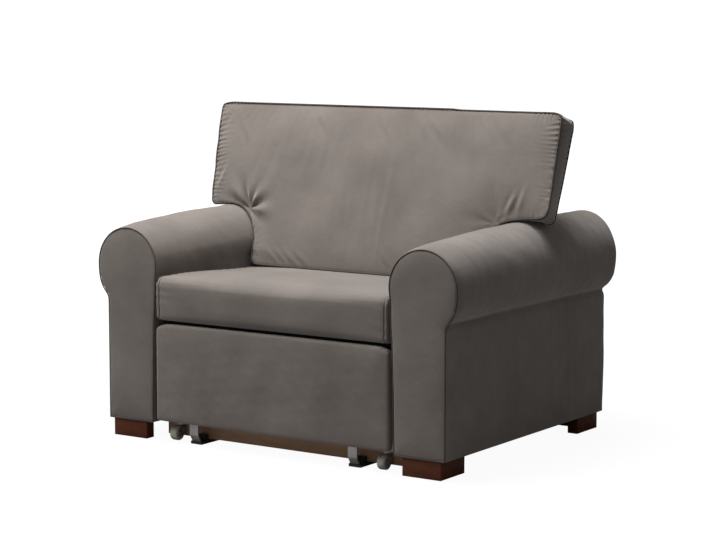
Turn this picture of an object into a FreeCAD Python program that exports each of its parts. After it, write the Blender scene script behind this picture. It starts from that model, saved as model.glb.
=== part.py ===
import FreeCAD, Part
import Sketcher
import os
import re

# Convertible chair bed: an upholstered armchair whose seat rolls forward and draws out two
# folding mattress sections that stand upright behind the loose back cushion.
# Lengths are in millimetres. X is to the right, Y to the rear and Z up.
# Depths are measured rearwards from the arms' front plane, heights from the floor.

os.makedirs("parts", exist_ok=True)
doc = FreeCAD.newDocument("chair_bed")
sheet = doc.addObject("Spreadsheet::Sheet", "Sizes")

# Driving dimensions
SIZES = [
    ("play", 0.3),
    # Arms
    ("body_half", 559),
    ("arm_width", 154),
    ("arm_depth", 876),
    ("roll_radius", 103.4),
    ("roll_inset", 68.7),
    ("roll_z", 491.2),
    ("roll_middle", 350),
    ("roll_middle_rise", 26),
    ("roll_rear_rise", 34),
    ("roll_spread", 4.3),
    ("padding", 12),
    ("facing", 6),
    ("board", 16),
    ("arm_board_drop", 93.2),
    # Feet
    ("foot_height", 50),
    ("foot_length", 118),
    ("foot_wall", 32),
    ("foot_inset", 13),
    ("foot_front_inset", 7),
    ("foot_rear_inset", 14),
    ("foot_bolt_radius", 4),
    ("foot_bolt_bottom", 20),
    ("foot_bolt_top", 66),
    # Back
    ("back_bottom", 60),
    ("back_neck_drop", 63.2),
    ("back_shoulder_drop", 6.6),
    ("back_top_drop", 6),
    ("back_top_inset", 8),
    ("back_corner", 40),
    ("back_board", 8),
    ("back_padding", 8),
    ("back_rail_depth", 30),
    ("back_rail_height", 70),
    ("back_post_width", 24),
    # Folding sections
    ("section_side_gap", 28.9),
    ("section_thickness", 88),
    ("section_reach", 86),
    ("section_corner", 30),
    ("sweep_gap", 7),
    ("link_length", 500),
    ("rail_width", 25),
    ("rail_thickness", 25),
    ("rail_setback", 8),
    ("slat_thickness", 8),
    ("slat_width", 53),
    ("slat_count", 6),
    # Hinges
    ("pin_radius", 6),
    ("eye_radius", 14),
    ("strap_thickness", 4),
    ("strap_length", 62),
    ("strap_width", 20),
    ("arm_plate", 5),
    ("hinge_gap", 0.7),
    ("plate_gap", 2),
    ("pivot_gap", 5),
    ("pivot_block_half", 15),
    ("pivot_rail_depth", 250),
    ("pivot_rail_height", 52),
    # Middle legs
    ("leg_width", 20),
    ("leg_pad_height", 6),
    ("leg_pad_overlap", 3),
    # Seat unit
    ("seat_side_gap", 2.9),
    ("seat_gap", 6),
    ("seat_slit", 8),
    ("seat_thickness", 121),
    ("seat_corner", 32),
    ("seat_rail_height", 33),
    ("seat_rail_width", 25),
    ("seat_slat_count", 7),
    ("panel_side_gap", 15),
    ("panel_bottom", 60),
    ("panel_top", 333),
    ("panel_padding", 8),
    ("panel_board", 18),
    ("panel_margin", 5),
    ("cart_board", 18),
    ("cart_board_bottom", 112),
    ("cart_rear_inset", 35.4),
    ("front_board_gap", 5),
    ("front_board_bottom", 9.5),
    ("front_board_side_gap", 5),
    ("rear_board_bottom", 100),
    ("glide_length", 30),
    # Hinge arms of the seat unit
    ("hinge_arm_length", 145.4),
    ("hinge_arm_bottom", 296),
    ("hinge_bolt_radius", 4),
    ("hinge_bolt_head", 7),
    ("hinge_bolt_pitch", 70),
    # Wheels and strip legs
    ("wheel_radius", 21),
    ("wheel_width", 24),
    ("wheel_inset", 42),
    ("wheel_depth", 44),
    ("wheel_round", 4),
    ("axle_radius", 4),
    ("cheek", 2),
    ("bracket_top", 66),
    ("strip_inset", 124),
    ("strip_width", 29),
    ("strip_thickness", 5),
    ("strip_top", 140),
    ("strip_bend", 27),
    ("strip_front", 15.5),
    ("strip_foot", 27),
    ("skid_length", 90),
    ("skid_width", 38),
    ("skid_height", 8),
    ("heel_front", 37),
    ("heel_length", 26),
    ("heel_height", 24),
    # Back cushion
    ("cushion_lean", 17.5),
    ("cushion_overhang", 21),
    ("cushion_side_gap", 3.9),
    ("cushion_setback", 231.4),
    ("cushion_height", 463),
    ("cushion_gusset", 88),
    ("ear_lift", 5.4),
    ("cushion_round", 18),
    ("cushion_rest", 0.5),
]
for row, (alias, number) in enumerate(SIZES, start=1):
    sheet.set(f"A{row}", alias)
    sheet.set(f"B{row}", str(number))
    sheet.setAlias(f"B{row}", alias)
doc.recompute()

# Sizes worked out from the driving ones
DERIVED = {
    "front_plane": "-arm_depth / 2",
    "arm_inner": "body_half - arm_width",
    "roll_x": "body_half - roll_inset",
    "roll_inner": "roll_x - roll_radius",
    "roll_top": "roll_z + roll_radius",
    "arm_board_top": "roll_z - arm_board_drop",
    "cavity_inner": "arm_inner + padding",
    "cavity_outer": "body_half - padding",
    "cavity_rear": "arm_depth - facing",
    "side_board_front": "facing + board + play",
    "side_board_rear": "cavity_rear - board - play",
    "back_inner": "arm_depth - back_padding - back_board",
    "section_sweep": "sqrt((section_reach - section_corner) ^ 2"
                     " + (section_thickness - section_corner) ^ 2) + section_corner",
    "between_rolls": "roll_inner - 1",
    "back_neck": "roll_z - back_neck_drop",
    "back_shoulder": "roll_top - back_shoulder_drop",
    "back_top": "fold_top - back_top_drop",
    "back_top_half": "section_half - back_top_inset",
    "fold_plane": "back_inner - sweep_gap - section_sweep",
    "seat_bottom": "panel_top + seat_slit",
    "bed_top": "seat_bottom + seat_thickness",
    "section_half": "roll_inner - section_side_gap",
    "seat_half": "roll_inner - seat_side_gap",
    "panel_half": "arm_inner - panel_side_gap",
    "front_board_half": "arm_inner - front_board_side_gap",
    "wheel_x": "panel_half - wheel_inset",
    "strip_x": "panel_half - strip_inset",
    "hinge_height": "bed_top - section_thickness",
    "fold_top": "hinge_height + link_length",
    "deck_height": "1 + rail_thickness + play + slat_thickness + play",
    "seat_rear": "fold_plane - section_sweep - seat_gap",
    "seat_rail_top": "seat_bottom - play - slat_thickness - play",
    "seat_rail_bottom": "seat_rail_top - seat_rail_height",
    "seat_rail_outer": "hinge_arm_x - play",
    "seat_rail_rear": "seat_rear - seat_rail_width",
    "cart_depth": "seat_rear - cart_rear_inset",
    "front_board_depth": "wheel_depth + wheel_radius + front_board_gap",
    "hinge_arm_front": "seat_rear - hinge_arm_length",
    "eye_plate_x": "section_half + play",
    "hinge_arm_x": "eye_plate_x + strap_thickness + hinge_gap",
    "leg_x": "hinge_arm_x + strap_thickness + plate_gap",
    "pivot_plate_x": "leg_x + strap_thickness + plate_gap",
    "pivot_block_x": "pivot_plate_x + strap_thickness + pivot_gap",
    "cushion_half": "body_half + cushion_overhang",
    "cushion_foot_half": "roll_inner - cushion_side_gap",
    "cushion_front": "fold_plane - section_thickness - cushion_setback",
    "cushion_top": "bed_top + cushion_height",
    "ear_bottom": "roll_top + roll_middle_rise + ear_lift",
    "panel_board_front": "panel_padding + play",
    "panel_board_rear": "panel_board_front + panel_board",
    "cart_front": "panel_board_rear + play",
    "strip_rear": "cart_front + strip_thickness",
}


def formula(text):
    """Give the text with each size replaced by its cell, and each derived size by its own formula."""
    def swap(match):
        word = match.group(0)
        if word in DERIVED:
            return "(" + formula(DERIVED[word]) + ")"
        if word in ALIASES:
            return "Sizes." + word
        return word
    return re.sub(r"[a-z_]+\w*", swap, text)


ALIASES = {alias for alias, _ in SIZES}


def value(text):
    """Give the number that a formula comes to now."""
    return float(sheet.evalExpression(formula(text)))


def place(thing, x="0", depth="0", z="0"):
    """Bind a thing's place, with its depth measured from the arms' front plane."""
    thing.setExpression("Placement.Base.x", formula(x))
    thing.setExpression("Placement.Base.y", formula(f"front_plane + {depth}"))
    thing.setExpression("Placement.Base.z", formula(z))


def block(label, x, depth, z):
    """Make a box from three pairs of formulas: its limits in X, in depth and in height."""
    thing = doc.addObject("Part::Box", label)
    thing.setExpression("Length", formula(f"({x[1]}) - ({x[0]})"))
    thing.setExpression("Width", formula(f"({depth[1]}) - ({depth[0]})"))
    thing.setExpression("Height", formula(f"({z[1]}) - ({z[0]})"))
    place(thing, x[0], depth[0], z[0])
    return thing


def sided(side, inner, outer):
    """Give the limits in X of something between two distances from the middle, on one side."""
    if side > 0:
        return (inner, outer)
    return (f"-({outer})", f"-({inner})")


def rod(label, direction, radius, start, length):
    """Make a cylinder along X, Y or Z from its start, given as X, depth and height."""
    thing = doc.addObject("Part::Cylinder", label)
    turn = {"X": (FreeCAD.Vector(0, 1, 0), 90), "Y": (FreeCAD.Vector(1, 0, 0), -90)}
    if direction in turn:
        thing.Placement = FreeCAD.Placement(FreeCAD.Vector(), FreeCAD.Rotation(*turn[direction]))
    thing.setExpression("Radius", formula(radius))
    thing.setExpression("Height", formula(length))
    place(thing, *start)
    return thing


def cross_rod(label, side, radius, inner, outer, depth, z):
    """Make a cylinder along X between two distances from the middle, on one side."""
    low, high = sided(side, inner, outer)
    return rod(label, "X", radius, (low, depth, z), f"({high}) - ({low})")


def fuse(label, things):
    """Join things into one solid."""
    joined = doc.addObject("Part::MultiFuse", label)
    joined.Shapes = things
    joined.Refine = True
    return joined


def cut(label, base, tools):
    """Take one or more tools away from a base."""
    tool = tools[0] if len(tools) == 1 else fuse(label + "_tools", tools)
    result = doc.addObject("Part::Cut", label)
    result.Base = base
    result.Tool = tool
    return result


def group(label, things):
    """Keep like pieces together as separate solids."""
    together = doc.addObject("Part::Compound", label)
    together.Links = things
    return together


def rounded(label, base, radius, wanted):
    """Round the straight edges of a thing that the test picks, given each edge's middle and direction."""
    doc.recompute()
    result = doc.addObject("Part::Fillet", label)
    result.Base = base
    size = value(radius)
    picked = []
    for number, edge in enumerate(base.Shape.Edges, start=1):
        if isinstance(edge.Curve, Part.Line) and wanted(edge.CenterOfMass, edge.Curve.Direction):
            picked.append((number, size, size))
    result.Edges = picked
    return result


def origin_plane(body, role):
    """Find one of a body's own origin planes."""
    return [feature for feature in body.Origin.OriginFeatures if feature.Role == role][0]


def polygon_sketch(body, name, role, points):
    """Draw a closed polygon whose corners are bound to formulas, on one of the body's planes."""
    sketch = body.newObject("Sketcher::SketchObject", name)
    sketch.AttachmentSupport = [(origin_plane(body, role), "")]
    sketch.MapMode = "FlatFace"
    corners = [FreeCAD.Vector(value(across), value(up), 0) for across, up in points]
    for start, end in zip(corners, corners[1:] + corners[:1]):
        sketch.addGeometry(Part.LineSegment(start, end), False)
    count = len(points)
    for index, (across, up) in enumerate(points):
        sketch.addConstraint(Sketcher.Constraint("Coincident", index, 2, (index + 1) % count, 1))
        for kind, text in (("DistanceX", across), ("DistanceY", up)):
            entry = sketch.addConstraint(
                Sketcher.Constraint(kind, -1, 1, index, 1, value(text)))
            sketch.setExpression(f"Constraints[{entry}]", formula(text))
    return sketch


def pad(body, name, sketch, length, symmetric=False, backwards=False):
    """Give a sketch its thickness."""
    feature = body.newObject("PartDesign::Pad", name)
    feature.Profile = sketch
    feature.Midplane = symmetric
    feature.Reversed = backwards
    feature.setExpression("Length", formula(length))
    return feature


def plate(label, role, points, length, start, symmetric=False, backwards=False):
    """Make a body of one padded polygon, placed at its start."""
    body = doc.addObject("PartDesign::Body", label)
    sketch = polygon_sketch(body, label + "_outline", role, points)
    pad(body, label + "_pad", sketch, length, symmetric, backwards)
    place(body, *start)
    return body


SIDES = (("left", -1), ("right", 1))
NODES = []


def keep(thing):
    """Enter a finished sub-part under its own label."""
    NODES.append(thing)
    return thing


# Arms
def roll(label, side):
    """Make the roll of one arm: round at the facing, and swelling upwards and outwards behind it."""
    sections = []
    for name, depth, rise, spread in (("front", "facing", "0", "0"),
                                      ("middle", "roll_middle", "roll_middle_rise", "roll_spread"),
                                      ("rear", "arm_depth", "roll_rear_rise", "roll_spread")):
        section = doc.addObject("Part::Ellipse", f"{label}_{name}")
        section.Placement = FreeCAD.Placement(
            FreeCAD.Vector(), FreeCAD.Rotation(FreeCAD.Vector(1, 1, 1), -120))
        section.setExpression("MajorRadius", formula(f"roll_radius + {rise} / 2"))
        section.setExpression("MinorRadius", formula(f"roll_radius + {spread} / 2"))
        place(section, f"{side} * (roll_x + {spread} / 2)", depth, f"roll_z + {rise} / 2")
        sections.append(section)
    loft = doc.addObject("Part::Loft", label)
    loft.Sections = sections
    loft.Solid = True
    loft.Ruled = True
    return loft


def arm_cover(name, side):
    """Padded cover of one arm: a slab and its roll, hollow where the frame stands."""
    outer = fuse(f"{name}_arm_form", [
        block(f"{name}_arm_slab", sided(side, "arm_inner", "body_half"),
              ("facing", "arm_depth"), ("foot_height", "roll_z")),
        roll(f"{name}_arm_roll", side),
    ])
    hollow = block(f"{name}_arm_hollow", sided(side, "cavity_inner", "cavity_outer"),
                   ("facing", "cavity_rear"), ("foot_height", "arm_board_top + play"))
    return keep(cut(f"{name}_arm_cover", outer, [hollow]))


def arm_facing(name, side):
    """Scroll-shaped front panel of one arm: a slab that ends in the roll's round."""
    body = doc.addObject("PartDesign::Body", f"{name}_arm_facing")
    sketch = body.newObject("Sketcher::SketchObject", f"{name}_arm_facing_outline")
    sketch.AttachmentSupport = [(origin_plane(body, "XZ_Plane"), "")]
    sketch.MapMode = "FlatFace"
    radius = value("roll_radius")
    centre = FreeCAD.Vector(side * value("roll_x"), value("roll_z"), 0)
    near = side * value("body_half")
    far = side * value("arm_inner")
    foot = value("foot_height")

    def on_roll(x):
        """Point on the lower half of the roll straight above x."""
        return FreeCAD.Vector(x, centre.y - (radius ** 2 - (x - centre.x) ** 2) ** 0.5, 0)

    left, right = min(near, far), max(near, far)
    low_left, low_right = FreeCAD.Vector(left, foot, 0), FreeCAD.Vector(right, foot, 0)
    sketch.addGeometry(Part.LineSegment(low_left, low_right), False)
    sketch.addGeometry(Part.LineSegment(low_right, on_roll(right)), False)
    top = FreeCAD.Vector(centre.x, centre.y + radius, 0)
    sketch.addGeometry(Part.Arc(on_roll(right), top, on_roll(left)), False)
    sketch.addGeometry(Part.LineSegment(on_roll(left), low_left), False)
    arc = 2
    sketch.addConstraint(Sketcher.Constraint("Coincident", 0, 2, 1, 1))
    sketch.addConstraint(Sketcher.Constraint("Coincident", 1, 2, arc, 1))
    sketch.addConstraint(Sketcher.Constraint("Coincident", arc, 2, 3, 1))
    sketch.addConstraint(Sketcher.Constraint("Coincident", 3, 2, 0, 1))
    sketch.addConstraint(Sketcher.Constraint("Vertical", 1))
    sketch.addConstraint(Sketcher.Constraint("Vertical", 3))
    edges = ("arm_inner", "body_half") if side > 0 else ("-(body_half)", "-(arm_inner)")
    rules = [
        ("DistanceX", 0, 1, edges[0]), ("DistanceY", 0, 1, "foot_height"),
        ("DistanceX", 0, 2, edges[1]), ("DistanceY", 0, 2, "foot_height"),
        ("DistanceX", arc, 3, f"{side} * roll_x"), ("DistanceY", arc, 3, "roll_z"),
    ]
    for kind, shape, end, text in rules:
        entry = sketch.addConstraint(Sketcher.Constraint(kind, -1, 1, shape, end, value(text)))
        sketch.setExpression(f"Constraints[{entry}]", formula(text))
    entry = sketch.addConstraint(Sketcher.Constraint("Radius", arc, radius))
    sketch.setExpression(f"Constraints[{entry}]", formula("roll_radius"))
    pad(body, f"{name}_arm_facing_pad", sketch, "facing", backwards=True)
    place(body)
    return keep(body)


def arm_boards(name, side):
    """Wooden boards inside one arm: front, rear, inner, outer and base."""
    whole = sided(side, "cavity_inner + play", "cavity_outer - play")
    tall = ("foot_height", "arm_board_top")
    keep(block(f"{name}_arm_front_board", whole, ("facing + play", "facing + board"), tall))
    keep(block(f"{name}_arm_rear_board", whole, ("cavity_rear - board", "cavity_rear - play"), tall))
    long = ("side_board_front", "side_board_rear")
    inner = sided(side, "cavity_inner + play", "cavity_inner + board")
    outer = sided(side, "cavity_outer - board", "cavity_outer - play")
    keep(block(f"{name}_arm_inner_board", inner, long, tall))
    keep(block(f"{name}_arm_outer_board", outer, long, tall))
    base = sided(side, "cavity_inner + board + play", "cavity_outer - board - play")
    blank = block(f"{name}_arm_base_blank", base, long, ("foot_height", "foot_height + board + 2"))
    holes = [rod(f"{name}_{label}_base_hole", "Z", "foot_bolt_radius + play", (x, depth, "foot_height - 1"),
                 "board + 10") for label, x, depth in bolt_places(side)]
    keep(cut(f"{name}_arm_base_board", blank, holes))


def bolt_places(side):
    """Give the name, X and depth of the four bolts that hold the two feet of one arm."""
    across = f"{side} * (body_half - foot_inset - foot_length * 0.65)"
    beside = f"{side} * (body_half - foot_inset - foot_wall * 0.75)"
    front_short = "foot_front_inset + foot_wall * 0.75"
    front_long = "foot_front_inset + foot_length * 0.65"
    rear_short = "arm_depth - foot_rear_inset - foot_wall * 0.75"
    rear_long = "arm_depth - foot_rear_inset - foot_length * 0.65"
    return [
        ("front_a", across, front_short), ("front_b", beside, front_long),
        ("rear_a", across, rear_short), ("rear_b", beside, rear_long),
    ]


# Feet
def foot(name, side, place_name):
    """L-shaped wooden corner foot with two bolt holes."""
    label = f"{place_name}_{name}_foot"
    corner_x = f"{side} * (body_half - foot_inset)"
    inner_x = f"{side} * (body_half - foot_inset - foot_wall)"
    tip_x = f"{side} * (body_half - foot_inset - foot_length)"
    if place_name == "front":
        near, mid, far = "0", "foot_wall", "foot_length"
        start = "foot_front_inset"
    else:
        near, mid, far = "0", "-(foot_wall)", "-(foot_length)"
        start = "arm_depth - foot_rear_inset"
    points = [(corner_x, near), (tip_x, near), (tip_x, mid), (inner_x, mid), (inner_x, far), (corner_x, far)]
    blank = plate(label + "_blank", "XY_Plane", points, "foot_height", ("0", start, "0"))
    holes = [rod(f"{label}_{mark}_hole", "Z", "foot_bolt_radius + play", (x, depth, "foot_bolt_bottom"),
                 "foot_height") for mark, x, depth in bolt_places(side) if mark.startswith(place_name)]
    return keep(cut(label, blank, holes))


def foot_bolts():
    """Eight bolts that hold the feet to the arms' base boards."""
    bolts = []
    for name, side in SIDES:
        for mark, x, depth in bolt_places(side):
            bolts.append(rod(f"{name}_{mark}_bolt", "Z", "foot_bolt_radius", (x, depth, "foot_bolt_bottom"),
                             "foot_bolt_top - foot_bolt_bottom"))
    return keep(group("foot_bolts", bolts))


# Back
def back_panels():
    """Back board and its padded cover: wide between the arms, narrower between the rolls and above them."""
    wide, narrow = "arm_inner - play", "back_top_half"
    right_half = [
        (wide, "back_bottom"), (wide, "back_neck"), ("between_rolls", "back_neck"),
        ("between_rolls", "back_shoulder"), (narrow, "back_shoulder"), (narrow, "back_top - back_corner"),
        (f"{narrow} - back_corner", "back_top"),
    ]
    outline = right_half + [(f"-({x})", z) for x, z in reversed(right_half)]
    keep(plate("back_board", "XZ_Plane", outline, "back_board - play",
               ("0", "back_inner", "0"), backwards=True))
    keep(plate("back_cover", "XZ_Plane", outline, "back_padding",
               ("0", "arm_depth - back_padding", "0"), backwards=True))
    wide_rail = (f"-({wide})", wide)
    rail_depth = ("back_inner - back_rail_depth", "back_inner - play")
    keep(block("back_bottom_rail", wide_rail, rail_depth,
               ("back_bottom", "back_bottom + back_rail_height")))
    posts = [block(f"{name}_back_post", sided(side, "between_rolls - back_post_width", "between_rolls"),
                   ("back_inner - back_post_width", "back_inner - play"),
                   ("back_bottom + back_rail_height", "back_shoulder")) for name, side in SIDES]
    keep(group("back_posts", posts))


# Pivot of the rear section on the arms
def pivot_seat(name, side):
    """Rail along the inner face of one arm, and the bearing block that stands on it."""
    low = "hinge_height - pivot_block_half - 7"
    keep(block(f"{name}_pivot_rail", sided(side, "pivot_block_x + 2", "arm_inner - play"),
               ("back_inner - pivot_rail_depth", "back_inner - back_rail_depth"),
               (f"{low} - pivot_rail_height", low)))
    body = block(f"{name}_pivot_blank", sided(side, "pivot_block_x", "arm_inner - play"),
                 ("fold_plane - pivot_block_half", "fold_plane + pivot_block_half"),
                 (low, "hinge_height + pivot_block_half"))
    hole = cross_rod(f"{name}_pivot_bore", side, "pin_radius + play", "pivot_block_x - 1", "arm_inner + 1",
                     "fold_plane", "hinge_height")
    drilled = cut(f"{name}_pivot_drilled", body, [hole])
    top = value("hinge_height")
    return keep(rounded(f"{name}_pivot_block", drilled, "pivot_block_half * 0.6",
                        lambda middle, direction: abs(direction.x) > 0.9 and middle.z > top + 5))


# Folding sections
def layer(facing, near, far):
    """Give the depth limits of a layer between two heights above a section's underside."""
    if facing > 0:
        return (f"fold_plane + {near}", f"fold_plane + {far}")
    return (f"fold_plane - ({far})", f"fold_plane - ({near})")


def section(name, facing):
    """One folding section, upright at rest: rails, slats and mattress. facing is 1 to the rear, -1 to the front."""
    rail = layer(facing, "1", "1 + rail_thickness")
    low = "hinge_height - section_reach + rail_setback"
    high = "fold_top - rail_setback"
    keep(group(f"{name}_side_rails", [
        block(f"{name}_{mark}_side_rail", sided(side, "section_half - rail_width", "section_half"), rail, (low, high))
        for mark, side in SIDES]))
    between = ("-(section_half - rail_width - play)", "section_half - rail_width - play")
    middle = "(hinge_height + fold_top - section_reach) / 2"
    spans = [(low, f"{low} + rail_width"), (middle, f"{middle} + rail_width"), (f"{high} - rail_width", high)]
    keep(group(f"{name}_cross_rails", [
        block(f"{name}_cross_rail_{number}", between, rail, span) for number, span in enumerate(spans, start=1)]))
    slat_layer = layer(facing, "1 + rail_thickness + play", "1 + rail_thickness + play + slat_thickness")
    count = int(round(value("slat_count")))
    slats = []
    for number in range(count):
        start = f"{low} + ({high} - ({low}) - slat_width) * {number} / {count - 1}"
        slats.append(block(f"{name}_slat_{number + 1}", ("-(section_half - 2)", "section_half - 2"), slat_layer,
                           (start, f"{start} + slat_width")))
    keep(group(f"{name}_slats", slats))
    blank = block(f"{name}_mattress_blank", ("-(section_half)", "section_half"),
                  layer(facing, "deck_height", "section_thickness"),
                  ("hinge_height - section_reach", "fold_top - 2"))
    reach = value("hinge_height - section_reach")
    outer = value("front_plane + fold_plane") + facing * value("section_thickness")
    keep(rounded(f"{name}_mattress", blank, "section_corner",
                 lambda middle, direction: abs(direction.x) > 0.9 and abs(middle.z - reach) < 1
                 and abs(middle.y - outer) < 1))


def strap(name, side, facing, end, plate_x, extra):
    """One hinge strap on a section's side: packing, plate and eye. end is 1 at the top, 0 at the bottom."""
    pivot = "fold_top" if end else "hinge_height"
    sign = -1 if end else 1
    near, far = f"{pivot} + {sign} * strap_length", pivot
    limits = (near, far) if end else (far, near)
    pieces = [
        block(f"{name}_plate", sided(side, plate_x, f"{plate_x} + strap_thickness"),
              layer(facing, "3", "3 + strap_width"), limits),
        cross_rod(f"{name}_eye", side, "eye_radius", plate_x, f"{plate_x} + strap_thickness", "fold_plane", pivot),
    ]
    if plate_x != "eye_plate_x":
        packing = (near, f"{near} + strap_length * 0.55") if end else (f"{near} - strap_length * 0.55", near)
        pieces.append(block(f"{name}_packing", sided(side, "eye_plate_x", f"{plate_x} + 1"),
                            layer(facing, "3", "3 + strap_width"), packing))
    joined = fuse(f"{name}_strap", pieces + extra)
    return joined


def bored_strap(name, side, facing, plate_x):
    """Hinge strap at the top of a section, bored for the middle shaft."""
    solid = strap(name, side, facing, 1, plate_x, [])
    bore = cross_rod(f"{name}_bore", side, "pin_radius + play", "section_half", "leg_x", "fold_plane", "fold_top")
    return cut(f"{name}_bored", solid, [bore])


def hinge_straps():
    """All straps of the two sections, in pairs, left and right."""
    top_rear, top_middle, foot_rear, foot_middle = [], [], [], []
    for name, side in SIDES:
        top_middle.append(bored_strap(f"{name}_middle_top", side, -1, "eye_plate_x"))
        top_rear.append(bored_strap(f"{name}_rear_top", side, 1, "hinge_arm_x"))
        pin = cross_rod(f"{name}_rear_pin", side, "pin_radius", "pivot_plate_x", "arm_inner - 1",
                        "fold_plane", "hinge_height")
        foot_rear.append(strap(f"{name}_rear_foot", side, 1, 0, "pivot_plate_x", [pin]))
        arm_outer = "hinge_arm_x + arm_plate"
        pin = cross_rod(f"{name}_middle_pin", side, "pin_radius", "eye_plate_x", f"{arm_outer} + 3",
                        "fold_plane", "hinge_height")
        head = cross_rod(f"{name}_middle_pin_head", side, "pin_radius + 3", f"{arm_outer} + play",
                         f"{arm_outer} + 3", "fold_plane", "hinge_height")
        foot_middle.append(strap(f"{name}_middle_foot", side, -1, 0, "eye_plate_x", [pin, head]))
    keep(group("rear_section_top_straps", top_rear))
    keep(group("rear_section_pivot_straps", foot_rear))
    keep(group("middle_section_top_straps", top_middle))
    keep(group("middle_section_front_straps", foot_middle))


# Middle legs
def middle_legs():
    """Shaft through the top straps with a leg at each end, and the pads under the legs."""
    outer = "leg_x + strap_thickness"
    pieces = [rod("middle_shaft", "X", "pin_radius", (f"-({outer})", "fold_plane", "fold_top"), f"2 * ({outer})")]
    pads = []
    foot_z = "fold_top - hinge_height + 0.5"
    for name, side in SIDES:
        span = sided(side, "leg_x", outer)
        depth = ("fold_plane - leg_width / 2", "fold_plane + leg_width / 2")
        pieces.append(block(f"{name}_leg_strip", span, depth, (f"{foot_z} + leg_pad_height", "fold_top")))
        pieces.append(cross_rod(f"{name}_leg_eye", side, "leg_width / 2", "leg_x", outer, "fold_plane", "fold_top"))
        pad_span = sided(side, "leg_x - leg_pad_overlap", f"{outer} + leg_pad_overlap")
        pad_depth = ("fold_plane - leg_width / 2 - 2", "fold_plane + leg_width / 2 + 2")
        pads.append(block(f"{name}_leg_pad", pad_span, pad_depth, (foot_z, f"{foot_z} + leg_pad_height")))
    keep(fuse("middle_leg_frame", pieces))
    keep(group("middle_leg_pads", pads))


# Seat unit
def seat_unit():
    """Seat cushion, slats and rails, front panel and the boards that carry them."""
    blank = block("seat_cushion_blank", ("-(seat_half)", "seat_half"), ("0", "seat_rear"), ("seat_bottom", "bed_top"))
    front = value("front_plane")
    top = value("bed_top")
    keep(rounded("seat_cushion", blank, "seat_corner",
                 lambda middle, direction: abs(direction.x) > 0.9 and middle.y < front + 1 and middle.z > top - 1))
    rail_z = ("seat_rail_bottom", "seat_rail_top")
    inner = "seat_rail_outer - seat_rail_width"
    keep(group("seat_side_rails", [
        cut(f"{name}_seat_rail", block(f"{name}_seat_rail_blank", sided(side, inner, "seat_rail_outer"),
                                       ("cart_front", "seat_rail_rear"), rail_z), hinge_bolt_holes(name, side, "rail"))
        for name, side in SIDES]))
    across = (f"-({inner} - play)", f"{inner} - play")
    keep(group("seat_cross_rails", [
        block("seat_front_rail", across, ("cart_front", "cart_front + seat_rail_width"), rail_z),
        block("seat_rear_rail", across, ("seat_rail_rear - seat_rail_width", "seat_rail_rear"), rail_z)]))
    count = int(round(value("seat_slat_count")))
    first, last = "cart_front + 12", "seat_rail_rear - slat_width - 4"
    slats = []
    for number in range(count):
        start = f"{first} + ({last} - ({first})) * {number} / {count - 1}"
        slats.append(block(f"seat_slat_{number + 1}", ("-(seat_rail_outer - 1)", "seat_rail_outer - 1"),
                           (start, f"{start} + slat_width"),
                           ("seat_rail_top + play", "seat_rail_top + play + slat_thickness")))
    keep(group("seat_slats", slats))
    keep(block("front_panel_cover", ("-(panel_half)", "panel_half"), ("0", "panel_padding"),
               ("panel_bottom", "panel_top")))
    keep(block("front_panel_board", ("-(panel_half - panel_margin)", "panel_half - panel_margin"),
               ("panel_board_front", "panel_board_rear"), ("panel_bottom + 2", "panel_top - 2")))
    board_z = ("cart_board_bottom", "seat_rail_bottom - play")
    keep(group("cart_side_boards", [
        block(f"{name}_cart_board", sided(side, "seat_rail_outer - cart_board", "seat_rail_outer"),
              ("cart_front", "cart_depth"), board_z) for name, side in SIDES]))
    keep(block("cart_front_board", ("-(front_board_half)", "front_board_half"),
               ("front_board_depth", "front_board_depth + cart_board"),
               ("front_board_bottom", "cart_board_bottom - play")))
    keep(block("cart_rear_board", ("-(seat_rail_outer - cart_board - play)", "seat_rail_outer - cart_board - play"),
               ("cart_depth - cart_board", "cart_depth"), ("rear_board_bottom", "seat_rail_bottom - play")))
    keep(group("rear_glides", [
        block(f"{name}_glide", sided(side, "seat_rail_outer - cart_board", "seat_rail_outer"),
              ("cart_depth - glide_length", "cart_depth"), ("0", "cart_board_bottom - play"))
        for name, side in SIDES]))


def hinge_bolt_spots():
    """Give the depths of the two bolts in each hinge arm."""
    return ["hinge_arm_front + 20", "hinge_arm_front + 20 + hinge_bolt_pitch"]


def hinge_bolt_height():
    """Give the height of the hinge arms' bolts, at the middle of the seat rails."""
    return "seat_rail_bottom + seat_rail_height / 2"


def hinge_bolt_holes(name, side, mark):
    """Bolt holes through one seat rail or one hinge arm."""
    return [cross_rod(f"{name}_{mark}_hole_{number}", side, "hinge_bolt_radius + play",
                      "seat_rail_outer - seat_rail_width - 1", "hinge_arm_x + arm_plate + 1", depth,
                      hinge_bolt_height()) for number, depth in enumerate(hinge_bolt_spots(), start=1)]


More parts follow.
